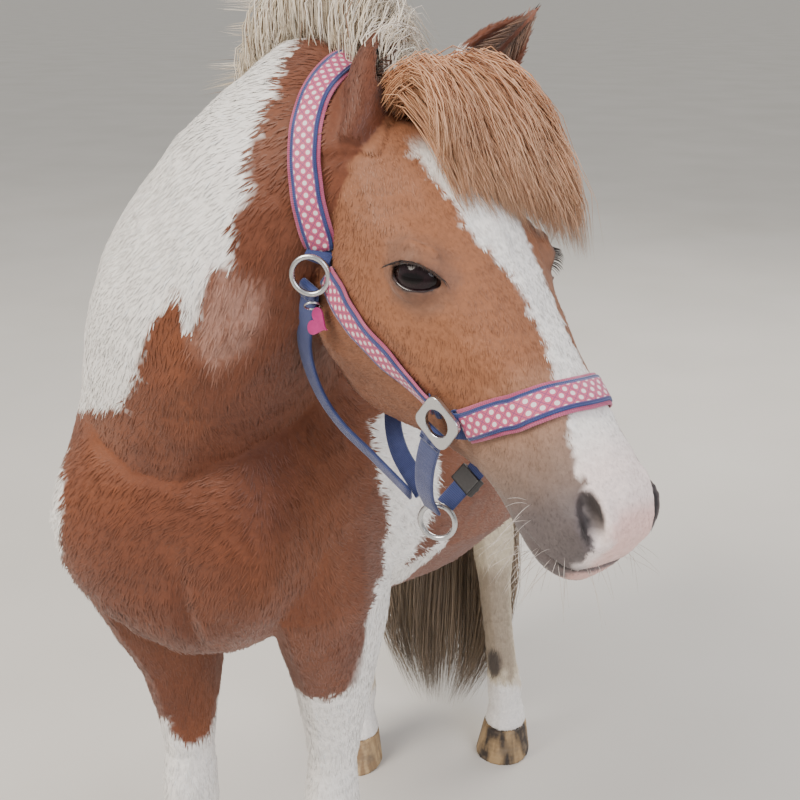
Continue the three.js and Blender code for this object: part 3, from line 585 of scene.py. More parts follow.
def inside(pixels, outline):
    """The signed distance, in pixels, to a closed outline: above nought inside it."""
    outline = np.array(outline, float)
    following = np.roll(outline, -1, axis=0)
    x, y = pixels[:, 0], pixels[:, 1]
    crossing = np.zeros(len(pixels), bool)
    best = np.full(len(pixels), np.inf)
    for (ax, ay), (bx, by) in zip(outline, following):
        if ay != by:
            spans = (ay > y) != (by > y)
            crossing ^= spans & (x < (bx - ax) * (y - ay) / (by - ay) + ax)
        edge = np.array([bx - ax, by - ay])
        at = np.clip(((x - ax) * edge[0] + (y - ay) * edge[1]) / (edge @ edge), 0, 1)
        best = np.minimum(best, np.hypot(x - ax - at * edge[0], y - ay - at * edge[1]))
    return np.where(crossing, best, -best)


def head_colours(head, colour):
    x, y, z = head[:, 0], head[:, 1], head[:, 2]
    down = -y
    colour = blend(colour, SORREL_FACE, 0.55 + 0 * x)
    cheek = smoothstep(-60, -150, z) * smoothstep(300, 230, down)
    colour = blend(colour, CHESTNUT_DARK, 0.15 * cheek)
    under = smoothstep(-150, -200, z) * smoothstep(320, 260, down)
    colour = blend(colour, CHESTNUT_WARM, 0.6 * under)
    for side, sign in SIDES:
        far = np.linalg.norm((head - eye_centre(sign)) / np.array((1, 1.15, 0.85)), axis=1)
        colour = blend(colour, SHADOW_GREY, 0.4 * smoothstep(36, 26, far + 2 * waves(head, 12, 31)))
        rim = to_head(lid_rim(side, EYE_RADIUS + RIM_OUT, np.linspace(0, 1, 25)))
        colour = blend(colour, NEAR_BLACK, 0.85 * smoothstep(4.4, 1.8, near_line(head, rim)))
    ragged = 2.2 * waves(head, 13, 33) + 1.2 * waves(head, 5, 34)
    # Brown fades to grey skin towards the mouth, on both sides of the muzzle
    fade = smoothstep(262, 318, down + 0.35 * (-z - 60))
    colour = blend(colour, TAWNY, 0.6 * smoothstep(235, 285, down))
    colour = blend(colour, GREY_BROWN, 0.85 * fade)
    slate = smoothstep(305, 352, down + 0.42 * (-z - 60) + 0.6 * ragged)
    colour = blend(colour, SLATE, 0.9 * slate)
    # The blaze, and the pale muzzle that it widens to
    right = np.interp(down, BLAZE_DOWN, BLAZE_RIGHT)
    left = np.interp(down, BLAZE_DOWN, BLAZE_LEFT)
    white = smoothstep(-1.5, 1.5, np.minimum(x - right, left - x) + ragged)
    white = white * smoothstep(-78, -62, z + 0.4 * ragged) * smoothstep(30, 60, down)
    colour = blend(colour, WHITE_COAT, white)
    pale = white * smoothstep(300, 345, down)
    colour = blend(colour, PALE_MUZZLE, 0.75 * pale)
    front = smoothstep(-26, -16, x + ragged) * smoothstep(34, 22, x) * smoothstep(366, 380, down)
    front = front * smoothstep(-78, -70, z)
    colour = blend(colour, PINK_SKIN, 0.75 * front)
    lip = smoothstep(-30, -24, x + ragged) * smoothstep(24, 14, x) * smoothstep(-80, -84, z)
    colour = blend(colour, PINK_SKIN, 0.9 * lip * smoothstep(356, 366, down) * smoothstep(-106, -98, z))
    # Painted shade in each nostril's opening and along the crease between the lips
    for _, sign in SIDES:
        nostril = (head - NOSTRIL * np.array((sign, 1, 1))) @ np.array(Matrix.Rotation(NOSTRIL_TURN, 3, "X"))
        far = np.linalg.norm(nostril / np.array(NOSTRIL_SHADE_REACH), axis=1)
        colour = blend(colour, NEAR_BLACK, 0.95 * smoothstep(1.12, 0.86, far))
        line = mirrored(MOUTH_LINE) if sign < 0 else MOUTH_LINE
        colour = blend(colour, NEAR_BLACK, 0.9 * smoothstep(3.4, 1.6, near_line(head, line)))
    return colour


def leg_colours(body, colour, region):
    z = body[:, 2] + 9 * waves(body, 26, 41) + 4 * waves(body, 9, 42)
    x, y = body[:, 0], body[:, 1]
    if region == "foreleg_left":
        return blend(colour, WHITE_COAT, smoothstep(482, 474, z))
    if region == "foreleg_right":
        tongue = 45 * np.exp(-((x + 66) / 16) ** 2) * smoothstep(-280, -320, y)
        return blend(colour, WHITE_COAT, smoothstep(408, 400, z + tongue))
    pale = blend(colour, CREAM, smoothstep(500, 420, z))
    if region == "hindleg_left":
        front = smoothstep(300, 270, y - 0.12 * z) * smoothstep(350, 300, z) * smoothstep(130, 150, z)
        pale = blend(pale, HOCK_BROWN, 0.7 * front)
        patch = mound(body, (118, 262, 165), (30, 40, 42))
        pale = blend(pale, HOCK_SPOT, 0.9 * smoothstep(0.2, 0.5, patch))
    return blend(pale, WHITE_COAT, smoothstep(140, 110, z))


def coat_colours(places, normals, region_index):
    """The markings, with painted shade in the nostrils, the mouth's crease and the ears' cups, alike on the
    skin and on the hair that grows from it.
    """
    head = to_head(places)
    body = to_body(places)
    pixels = image_place(places)
    view = unit(np.array(BODY + CAMERA_PLACE * MM) - places)
    facing = np.sum(view * normals, axis=1)
    tone = waves(body, 210, 51) * 0.5 + waves(body, 70, 52) * 0.3
    colour = blend(np.tile(CHESTNUT, (len(places), 1)), CHESTNUT_DARK, np.clip(0.18 - 0.3 * tone, 0, 0.7))
    colour = blend(colour, CHESTNUT_WARM, np.clip(0.12 + 0.3 * tone, 0, 0.6))
    ragged = 3.2 * waves(body, 24, 53) + 1.6 * waves(body, 8, 54)
    x, y, z = body[:, 0], body[:, 1], body[:, 2]
    for index, name in enumerate(REGION_NAMES):
        mine = region_index == index
        if not mine.any():
            continue
        if name in ("trunk", "neck"):
            rough = ragged[mine]
            trunk = name == "trunk"
            white = smoothstep(-1.5, 1.5, inside(pixels[mine], NECK_WHITE_EDGE) + rough)
            if trunk:
                side_x = x[mine] + 20
                seen = smoothstep(0.0, 0.15, facing[mine]) * smoothstep(120, 150, x[mine])
                band = smoothstep(-1.5, 1.5, inside(pixels[mine], SHOULDER_BAND) + 0.5 * rough) * seen
                far_right = smoothstep(-20, -60, side_x) * smoothstep(-395, -350, y[mine] + 3 * rough)
                reach = 60 + 60 * np.sin(z[mine] / 90) + 6 * rough
                patch = far_right * smoothstep(reach + 6, reach - 6, y[mine])
                patch = patch * smoothstep(590, 620, z[mine] + 4 * rough)
                over = smoothstep(930, 950, z[mine] + 3 * rough) * smoothstep(90, 60, y[mine] + 3 * rough)
                left_edge = -300 + 60 * np.sin(z[mine] / 120) + 4 * rough
                strip = smoothstep(left_edge - 4, left_edge + 4, y[mine])
                strip = strip * smoothstep(left_edge + 96, left_edge + 84, y[mine])
                strip = strip * smoothstep(60, 100, side_x) * smoothstep(760, 800, z[mine])
                rump = mound(body[mine], (150, 330, 800), (70, 90, 80)) + 0.01 * rough
                white = np.where(x[mine] < -40, np.maximum(white * (facing[mine] > -0.1), patch), 0)
                white = np.maximum.reduce([white, band, over, strip, smoothstep(0.3, 0.34, rump)])
            else:
                white = white * smoothstep(-0.25, 0.1, facing[mine])
                crest = smoothstep(-0.1, 0.1, -facing[mine]) * smoothstep(900, 920, z[mine])
                white = np.maximum(white, crest)
            colour[mine] = blend(colour[mine], WHITE_COAT, white)
            roan = smoothstep(-10, 14, inside(pixels[mine], ROAN_PATCH)) * (facing[mine] > 0)
            speck = smoothstep(-0.5, 0.5, waves(body[mine], 5, 55) + 0.4)
            roan = 0.6 * roan * (0.4 + 0.6 * speck) * (1 - white * 0.5)
            colour[mine] = blend(colour[mine], ROAN, roan)
        elif name == "head":
            colour[mine] = head_colours(head[mine], colour[mine])
        elif name.startswith("ear"):
            base = smoothstep(0.055, 0.02, np.linalg.norm(places[mine] - np.array(POLL), axis=1))
            colour[mine] = blend(colour[mine], CHESTNUT_DARK, 0.5 - 0.3 * base)
            cup_root, cup_axes = ear_axes(name.split("_")[1])
            inner = (to_head(places[mine]) - cup_root) @ cup_axes
            facing_cup = (normals[mine] @ np.array(HEAD_AXES) @ cup_axes)[:, 1]
            half = np.interp(inner[:, 2], CUP_HEIGHTS, CUP_HALVES)
            within = smoothstep(1.0, 0.8, np.abs(inner[:, 0]) / half) * smoothstep(6, 14, inner[:, 2])
            within = within * smoothstep(0.1, 0.45, -facing_cup)
            # Painted shade inside the ear's cup
            colour[mine] = blend(colour[mine], EAR_CUP_SHADE[name], 0.85 * within)
            if name == "ear_left":
                white = smoothstep(58, 44, inner[:, 2] + 2 * ragged[mine])
                colour[mine] = blend(colour[mine], WHITE_COAT, 0.9 * white)
        else:
            own = leg_colours(body[mine], colour[mine], name)
            if name == "foreleg_left":
                band = smoothstep(-1.5, 1.5, inside(pixels[mine], SHOULDER_BAND) + 0.5 * ragged[mine])
                own = blend(own, WHITE_COAT, band * smoothstep(100, 125, x[mine]))
                outer = smoothstep(118, 128, x[mine] + 0.5 * ragged[mine]) * smoothstep(-340, -310, y[mine])
                own = blend(own, WHITE_COAT, outer * smoothstep(720, 690, z[mine]))
            colour[mine] = own
    return colour


# Materials

def add_node(tree, kind, inputs=None, **settings):
    """A shader node with its settings; an input is given a value, or the output of another node."""
    node = tree.nodes.new("ShaderNode" + kind)
    for key, value in settings.items():
        setattr(node, key, value)
    for name, value in (inputs or {}).items():
        if isinstance(value, bpy.types.NodeSocket):
            tree.links.new(value, node.inputs[name])
        else:
            node.inputs[name].default_value = value
    return node


def start_material(name, **constants):
    """A material with a plain shader, whose even values are set on its own sockets."""
    material = bpy.data.materials.new(name)
    material.use_nodes = True
    tree = material.node_tree
    shader = tree.nodes["Principled BSDF"]
    for socket, value in constants.items():
        shader.inputs[socket.replace("_", " ")].default_value = value
    return material, tree, shader


def paint(code):
    return (*rgb(code), 1.0)


def ramp(tree, value, low, high, first, second):
    """A value between two levels as a mix of two colours."""
    share = add_node(tree, "MapRange", {"Value": value, "From Min": low, "From Max": high})
    mixed = add_node(tree, "Mix", data_type="RGBA")
    tree.links.new(share.outputs["Result"], mixed.inputs["Factor"])
    for socket, colour in ((mixed.inputs[6], first), (mixed.inputs[7], second)):
        if isinstance(colour, bpy.types.NodeSocket):
            tree.links.new(colour, socket)
        else:
            socket.default_value = colour
    return mixed.outputs[2]


def hide_material():
    """Horse skin under a short coat: dull, with the fine lines of flat hairs."""
    material, tree, shader = start_material("short_horse_coat", Roughness=0.62, Sheen_Weight=0.12,
                                            Sheen_Roughness=0.5, Specular_IOR_Level=0.35)
    colour = add_node(tree, "Attribute", attribute_name="coat")
    spot = add_node(tree, "TexCoord")
    grain = add_node(tree, "TexNoise", {"Vector": spot.outputs["Object"], "Scale": 260.0, "Detail": 4.0})
    dull = add_node(tree, "HueSaturation", {"Color": colour.outputs["Color"], "Value": 0.8})
    grained = ramp(tree, grain.outputs["Fac"], 0.3, 0.75, colour.outputs["Color"], dull.outputs["Color"])
    tree.links.new(grained, shader.inputs["Base Color"])
    raised = add_node(tree, "Bump", {"Height": grain.outputs["Fac"], "Distance": 0.8 * MM, "Strength": 0.7})
    tree.links.new(raised.outputs["Normal"], shader.inputs["Normal"])
    return material


def hair_material(name, roughness, anisotropic):
    """Horse hair: each hair has its own shade, and shines in a soft band across the lock."""
    material, tree, shader = start_material(name, Roughness=roughness, Sheen_Weight=0.1,
                                            Specular_IOR_Level=0.4, Anisotropic=anisotropic)
    colour = add_node(tree, "Attribute", attribute_name="coat")
    spot = add_node(tree, "TexCoord")
    dust = add_node(tree, "TexNoise", {"Vector": spot.outputs["Object"], "Scale": 35.0, "Detail": 3.0})
    dull = add_node(tree, "HueSaturation", {"Color": colour.outputs["Color"], "Value": 0.84})
    tree.links.new(ramp(tree, dust.outputs["Fac"], 0.35, 0.7, colour.outputs["Color"], dull.outputs["Color"]),
                   shader.inputs["Base Color"])
    return material


# Skin and short coat

def put_bake_map(mesh, corners_uv):
    layer = mesh.uv_layers.new(name="OFBake")
    layer.data.foreach_set("uv", np.ascontiguousarray(corners_uv, np.float32).ravel())


def make_skin():
    mesh = make_skin_mesh()
    places = points_of(mesh)
    normals = normals_of(mesh)
    regions = nearest_regions(places)
    smooth_faces(mesh)
    set_colour(mesh, "coat", coat_colours(places, normals, regions))
    corners = corner_points(mesh).reshape(-1, 3)
    uv = np.zeros((len(corners), 3, 2))
    flats = {}
    for index, name in enumerate(REGION_NAMES):
        flats[index] = unwrap_of(name, places[regions == index])
        mine = regions[corners[:, 0]] == index
        angle, share = flats[index](places[corners[mine]].reshape(-1, 3))
        angle = angle.reshape(-1, 3)
        crossing = angle.max(axis=1) - angle.min(axis=1) > math.pi
        angle = np.where(crossing[:, None] & (angle < 0), angle + 2 * math.pi, angle)
        uv[mine] = bake_place(index, angle, share.reshape(-1, 3))
    put_bake_map(mesh, uv)
    join_model(new_object("skin", mesh, hide_material()), "coat_chestnut", *FLESH)
    return {"places": places, "normals": normals, "regions": regions, "corners": corners, "flats": flats}


# Tufts of the coat: how many to the square metre, how long and how wide, in millimetres
TUFTS = {
    "trunk": (36000, 17, 1.7),
    "neck": (46000, 15, 1.6),
    "head": (140000, 7, 1.0),
    "ear": (110000, 8, 1.1),
    "foreleg": (50000, 11, 1.5),
    "hindleg": (50000, 11, 1.5),
}
TUFT_BEND = 0.4              # the widest place of a tuft, as a share of its length
TUFT_RISE = (0.35, 0.9)      # how far its bend and its tip stand off the skin, in millimetres
TUFT_ROUND = 0.3             # how far a tuft's shading leans from that of the skin, at its edges and tip
TUFT_FACES = np.array([[0, 1, 2], [0, 3, 1], [0, 2, 3], [4, 2, 1], [4, 1, 3], [4, 3, 2]])
TUFT_POINTS = 5
COAT_PIECES = {
    "coat_trunk": ["trunk"],
    "coat_neck": ["neck"],
    "coat_head": ["head", "ear_left", "ear_right"],
    "coat_forelegs": ["foreleg_left", "foreleg_right"],
    "coat_hindlegs": ["hindleg_left", "hindleg_right"],
}
# Painted shade at a tuft's root and edges, and painted light on its back and tip
TUFT_LIGHT_AND_SHADE = np.array([0.84, 0.97, 0.97, 1.03, 1.06])    # at its root, its two edges, its back and its tip
TUFTS_A_PIECE = 32000
# What stays bare: the half-sizes of a nostril, and the width of the lids' and the lips' edges
NOSTRIL_BARE = (13, 24, 12)
LID_BARE = 4.5
LIP_BARE = 4
HOOF_TOP = 0.053
PATCH = 0.003                # the size of a tuft's own patch on the shared map


def spread_places(skin):
    """Places spread evenly over the skin: the triangle of each, and how it divides the corners."""
    corners = skin["places"][skin["corners"]]
    area = np.linalg.norm(np.cross(corners[:, 1] - corners[:, 0], corners[:, 2] - corners[:, 0]), axis=1) / 2
    first = skin["corners"][:, 0]
    total = np.cumsum(area * tuft_size(skin["places"][first], skin["regions"][first], 0))
    count = int(total[-1])
    triangle = np.minimum(np.searchsorted(total, np.arange(count) + rng.random(count)), len(corners) - 1)
    first, second = rng.random(count), rng.random(count)
    folded = first + second > 1
    first = np.where(folded, 1 - first, first)
    second = np.where(folded, 1 - second, second)
    return triangle, np.stack([1 - first - second, first, second], axis=1)


def tuft_size(places, regions, which):
    """One of the three numbers of TUFTS for each place. Tufts are smaller on the muzzle, eyes and feet."""
    sizes = np.zeros(len(places))
    for index, name in enumerate(REGION_NAMES):
        sizes[regions == index] = TUFTS[name.split("_")[0]][which]
    head = to_head(places)
    fine = np.maximum(smoothstep(-260, -330, head[:, 1]), smoothstep(55, 30, eye_distance(head)))
    fine = fine * (regions == REGION_NAMES.index("head"))
    if which:
        sizes = sizes * (1 - 0.5 * fine) * (0.6 + 0.4 * smoothstep(0.06, 0.25, places[:, 2]))
    return sizes


def bare(places):
    """Places without tufts: inside the nostrils and the mouth, on the lips' edges and the eyelids."""
    head = to_head(places)
    shut = np.minimum(near_line(head, MOUTH_LINE), near_line(head, mirrored(MOUTH_LINE))) < LIP_BARE
    for _, sign in SIDES:
        nostril = head - NOSTRIL * np.array((sign, 1, 1))
        shut |= np.linalg.norm(nostril / np.array(NOSTRIL_BARE), axis=1) < 1
    shut |= eye_distance(head) < EYE_RADIUS + LID_BARE
    return shut | (places[:, 2] < HOOF_TOP)


def make_coat(skin):
    triangle, weights = spread_places(skin)
    corners = skin["corners"][triangle]
    roots = np.sum(skin["places"][corners] * weights[:, :, None], axis=1)
    normals = unit(np.sum(skin["normals"][corners] * weights[:, :, None], axis=1))
    regions = skin["regions"][corners[:, 0]]
    keep = ~bare(roots)
    roots, normals, regions = roots[keep], normals[keep], regions[keep]
    count = len(roots)
    ahead = unit(hair_lie(roots, normals, regions) + 0.16 * rng.normal(size=(count, 3)))
    ahead = unit(ahead - normals * np.sum(ahead * normals, axis=1, keepdims=True))
    side = np.cross(ahead, normals)
    vary = rng.uniform(0.7, 1.25, count)
    long = (tuft_size(roots, regions, 1) * vary * MM)[:, None]
    half = (tuft_size(roots, regions, 2) * rng.uniform(0.75, 1.2, count) * MM / 2)[:, None]
    short = np.minimum(long / (12 * MM), 1)
    rise, peak = (r * MM * short * rng.uniform(0.7, 1.3, (count, 1)) for r in TUFT_RISE)
    base = roots - normals * 0.5 * MM
    bend = roots + ahead * long * TUFT_BEND + normals * rise
    points = np.stack([
        base, bend - side * half, bend + side * half, bend + normals * half * 0.5,
        roots + ahead * long + normals * peak + side * half * rng.normal(size=(count, 1)) * 0.5,
    ], axis=1)
    tilt = side[:, None] * np.array([0, -1, 1, 0, 0])[:, None]
    tilt = tilt + ahead[:, None] * np.array([-0.6, 0, 0, 0, 0.8])[:, None]
    shading = unit(normals[:, None] + TUFT_ROUND * tilt)
    colours = coat_colours(roots, normals, regions)
    shade = rng.normal(1.0, 0.07, count)[:, None]
    colours = np.clip(colours * shade, 0, 0.95)
    across = np.array([0.0, -0.5, 0.5, 0.0, 0.0])
    along = np.array([0.0, 0.4, 0.4, 0.4, 1.0])
    material = hair_material("short_horse_hair", 0.5, 0.3)
    for name, kinds in COAT_PIECES.items():
        mine = np.isin(regions, [REGION_NAMES.index(one) for one in kinds])
        parts = np.array_split(np.flatnonzero(mine), math.ceil(mine.sum() / TUFTS_A_PIECE))
        for part, some in enumerate(parts):
            faces = (TUFT_FACES[None] + TUFT_POINTS * np.arange(len(some))[:, None, None]).reshape(-1, 3)
            mesh = mesh_from(f"{name}_{part + 1}", points[some].reshape(-1, 3), triangles=faces)
            # Each tuft's colour, with painted shade at its root and painted light toward its back and tip
            tuft_lit_and_shaded = colours[some][:, None] * TUFT_LIGHT_AND_SHADE[:, None]
            set_colour(mesh, "coat", np.clip(tuft_lit_and_shaded, 0, 1).reshape(-1, 3))
            uv = np.zeros((len(some), 2))
            for index in range(len(REGION_NAMES)):
                here = regions[some] == index
                if here.any():
                    angle, share = skin["flats"][index](roots[some][here])
                    uv[here] = bake_place(index, angle, share)
            patch = uv[:, None] + PATCH * np.stack([across, along], axis=1)[None]
            put_bake_map(mesh, patch.reshape(-1, 2)[corner_points(mesh)])
            mesh.normals_split_custom_set_from_vertices(shading[some].reshape(-1, 3))
            join_model(new_object(mesh.name, mesh, material), "coat_chestnut")


# Long hair, in strands that gather into locks

STRAND_KNOTS = 8
ROOT_KNOTS = 1.5             # above 1 the knots are closer at the root, where hair bends most
STRAND_TAPER = np.array([0.75, 1.0, 1.0, 0.9, 0.75, 0.5])   # of a strand's width, at its inner knots
# The neck's upper and lower edges, from the withers to the poll, in the body's frame
CREST = [(0, -228, 1020), (22, -284, 1084), (72, -334, 1150), (135, -375, 1172), (196, -412, 1148),
         (245, -440, 1102)]
THROAT = [(4, -466, 690), (46, -503, 800), (116, -510, 888), (170, -490, 950), (215, -470, 988),
          (245, -462, 1014)]
MANE_RISE = (50, 84, 40)     # over the crest, at the withers, along the neck and at the poll
MANE_RISE_AT = (0, 0.7, 1)
MANE_FALL = 150
MANE_LOCKS = 170
MANE_STRANDS = 27
MANE_WIDTH = 1.25            # of a strand, in millimetres
FORELOCK_LOCKS = 150
FORELOCK_STRANDS = 34
FORELOCK_WIDTH = 1.05
FORELOCK_REACH = 118         # down the forehead, and how much further on the left side
FORELOCK_REACH_MORE = 42
TAIL_LOCKS = 230
TAIL_STRANDS = 30
TAIL_WIDTH = 1.9
TAIL_KNOTS = 7
TAIL_FLOOR = 0.006           # metres, the lowest place of the tail's hair
EAR_HAIRS = 420              # in each ear
LASHES = 46                  # on each upper lid
WHISKERS = 90
SMALL_HAIR_WIDTH = 0.9
WHISKER_WIDTH = 0.45
STRAND_SHADES = 0.09         # how far the strands' shades spread
SKIN_NEAR = 0.09             # metres, within which a knot looks for the skin
# The tail's back and front edges and its half-width, from the dock to its tip
TAIL_ROWS = [
    ((-34, 405, 850), (-34, 430, 800), 24),
    ((-34, 440, 862), (-34, 450, 796), 34),
    ((-34, 490, 812), (-34, 445, 752), 48),
    ((-33, 518, 720), (-33, 450, 695), 64),
    ((-30, 526, 600), (-30, 446, 590), 90),
    ((-24, 520, 470), (-24, 430, 468), 112),
    ((-16, 500, 350), (-16, 405, 350), 128),
    ((-8, 465, 220), (-8, 350, 235), 136),
    ((6, 425, 118), (6, 312, 138), 120),
    ((10, 396, 54), (10, 300, 70), 82),
    ((10, 364, 18), (10, 318, 30), 30),
]


def curves(controls, at):
    """Places on smooth curves, each through its own row of points; at runs from 0 to 1."""
    controls = np.asarray(controls, float)
    before = 2 * controls[:, :1] - controls[:, 1:2]
    after = 2 * controls[:, -1:] - controls[:, -2:-1]
    padded = np.concatenate([before, controls, after], axis=1)
    last = controls.shape[1] - 1
    spot = np.clip(np.asarray(at, float) * last, 0, last - 1e-6)
    first = spot.astype(int)
    t = (spot - first)[None, :, None]
    a, b, c, d = (padded[:, first + k] for k in range(4))
    squared, cubed = 2 * a - 5 * b + 4 * c - d, 3 * b - a - 3 * c + d
    return 0.5 * (2 * b + (c - a) * t + squared * t ** 2 + cubed * t ** 3)


def crest_places(at, out, high, slip=0.0):
    """Places by the crest: out to the neck's left, high over it, and slipped toward the poll."""
    root = curves([CREST], at)[0]
    ahead = unit(curves([CREST], at + 0.02)[0] - curves([CREST], at - 0.02)[0])
    up = unit(root - curves([THROAT], at)[0])
    left = unit(np.cross(up, ahead))
    return root + left * np.c_[out] + up * np.c_[high] + ahead * np.c_[slip + 0 * at]


def gather(guides, strands, root_spread, tip_spread, seed):
    """Strands round each guide: apart at the root, and drawn together toward the tip of the lock."""
    draw = np.random.default_rng(seed)
    count = len(guides) * strands
    paths = np.repeat(guides, strands, axis=0)
    at = np.linspace(0, 1, guides.shape[1])[None, :, None]
    spread = root_spread + (tip_spread - root_spread) * at
    paths = paths + draw.normal(size=(count, 1, 3)) * spread
    paths = paths + draw.normal(size=(count, 1, 3)) * tip_spread * np.sin(at * math.pi * 2) * 0.7
    reach = draw.uniform(0.78, 1.06, count)
    reach = np.where(reach <= 0.85, 0.8, np.where(reach <= 0.95, 0.9, 1.0))
    knots = np.linspace(0, 1, STRAND_KNOTS) ** ROOT_KNOTS
    made = np.empty((count, STRAND_KNOTS, 3))
    for share in (0.8, 0.9, 1.0):
        made[reach == share] = curves(paths[reach == share], knots * share)
    return made


def keep_out(paths, tree, gap, first=1):
    """Move the knots of strands that come too near the skin out to its surface."""
    flat = paths.reshape(-1, 3)
    for number in np.flatnonzero(np.tile(np.arange(paths.shape[1]) >= first, len(paths))):
        place = Vector(flat[number])
        hit, normal, _, _ = tree.find_nearest(place, SKIN_NEAR)
        if hit is None:
            continue
        out = (place - hit).dot(normal)
        if out < gap:
            flat[number] = hit + normal * gap * (1 + 0.4 * (number % 7) / 7)
    return flat.reshape(paths.shape)


def strand_piece(name, slot_name, paths, width, colours, tips, material, bake_spots, seed, *nodes):
    """One piece of closed three-sided strands along paths, in metres. The width is in millimetres."""
    draw = np.random.default_rng(seed)
    count = len(paths)
    ahead = unit(np.gradient(paths, axis=1))
    roll = unit(draw.normal(size=(count, 1, 3)) + 0.01)
    side = unit(np.cross(ahead, roll))
    away = np.cross(side, ahead)
    half = STRAND_TAPER[None, :, None] * (width * MM * draw.uniform(0.7, 1.3, count) / 2)[:, None, None]
    inner, side, away = paths[:, 1:-1], side[:, 1:-1] * half, away[:, 1:-1] * half
    rings = np.stack([inner - side, inner + side, inner + away], axis=2).reshape(count, -1, 3)
    points = np.concatenate([paths[:, :1], rings, paths[:, -1:]], axis=1)
    last = len(STRAND_TAPER) * 3 + 1
    ends = [[0, 1, 2], [0, 3, 1], [0, 2, 3], [last, last - 2, last - 3], [last, last - 3, last - 1],
            [last, last - 1, last - 2]]
    walls = []
    for ring in range(len(STRAND_TAPER) - 1):
        left, right, top = (1 + 3 * ring + k for k in range(3))
        walls += [[left, left + 3, right + 3, right], [top, top + 3, left + 3, left],
                  [right, right + 3, top + 3, top]]
    step = (points.shape[1] * np.arange(count))[:, None, None]
    quads = (np.array(walls)[None] + step).reshape(-1, 4)
    triangles = (np.array(ends)[None] + step).reshape(-1, 3)
    mesh = mesh_from(name, points.reshape(-1, 3), quads=quads, triangles=triangles)
    inner_at = (np.arange(len(STRAND_TAPER)) + 1) / (len(STRAND_TAPER) + 1)
    at = np.concatenate([[0], np.repeat(inner_at, 3), [1]])
    shades = colours[:, None] + (tips - colours)[:, None] * smoothstep(0.35, 1.0, at)[None, :, None]
    # Painted shade toward each strand's root
    shades = shades * (0.72 + 0.28 * smoothstep(0, 0.25, at))[None, :, None]
    shades = shades * draw.normal(1.0, STRAND_SHADES, count)[:, None, None]
    set_colour(mesh, "coat", np.clip(shades, 0, 0.95).reshape(-1, 3))
    patch = bake_spots[:, None] + PATCH * np.stack([0 * at, at], axis=1)[None]
    put_bake_map(mesh, patch.reshape(-1, 2)[corner_points(mesh)])
    join_model(new_object(name, mesh, material), slot_name, *nodes)


def root_spots(skin, paths, region):
    """Where strands' roots fall on the shared map of the skin."""
    index = REGION_NAMES.index(region)
    angle, share = skin["flats"][index](paths[:, 0])
    return bake_place(index, angle, share)


def make_mane(skin, tree):
    draw = np.random.default_rng(41)
    material = hair_material("long_cream_mane_hair", 0.42, 0.6)
    locks = MANE_LOCKS
    at = np.sort(draw.uniform(0.0, 0.93, locks))
    rise = np.interp(at, MANE_RISE_AT, MANE_RISE) * draw.uniform(0.75, 1.1, locks)
    slip = draw.uniform(-4, 24, locks)
    reach = draw.uniform(6, 50, locks) - 60 * (draw.uniform(0, 1, locks) < 0.3) * (1 - 0.7 * at)
    start = draw.uniform(-15, 8, locks)
    arching = np.stack([
        crest_places(at, start, -6 + 0 * at), crest_places(at, start - 8, 0.5 * rise, 0.3 * slip),
        crest_places(at, start + 4, 0.92 * rise, 0.7 * slip), crest_places(at, 0.6 * reach, rise, slip),
        crest_places(at, 1.5 * reach, 0.66 * rise, 1.6 * slip),
    ], axis=1)
    at = np.sort(draw.uniform(0.02, 0.97, locks))
    rise = np.interp(at, MANE_RISE_AT, MANE_RISE) * draw.uniform(0.5, 1.0, locks)
    fall = MANE_FALL * draw.uniform(0.55, 1.15, locks)
    slip = draw.uniform(-26, 6, locks)
    wide = draw.uniform(0.75, 1.0, locks)
    falling = np.stack([
        crest_places(at, -4 + 0 * at, -6 + 0 * at), crest_places(at, 4 * wide, 0.45 * rise),
        crest_places(at, 38 * wide, 0.55 * rise, 0.3 * slip), crest_places(at, 92 * wide, -0.25 * fall, slip),
        crest_places(at, 124 * wide, -fall, 1.7 * slip),
    ], axis=1)
    cream, white = rgb("#d8c7aa"), rgb("#f1e7d9")
    for number, (name, guides) in enumerate((("mane_standing", arching), ("mane_falling", falling))):
        paths = gather(guides, MANE_STRANDS, 6.5, 3.6, 51 + number)
        paths = keep_out(on_body(paths), tree, 2.0 * MM)
        count = len(paths)
        share = np.repeat(draw.uniform(0.2, 1, locks), MANE_STRANDS)
        colours = blend(cream, white, np.clip(share + draw.normal(0, 0.2, count), 0, 1))
        dark = draw.uniform(size=count) < 0.05
        colours[dark] = rgb("#8a6a50")
        strand_piece(name, "hair_mane", paths, MANE_WIDTH, colours, colours * 1.04, material,
                     root_spots(skin, paths, "neck"), 61 + number, "mane_lower", "mane_upper")


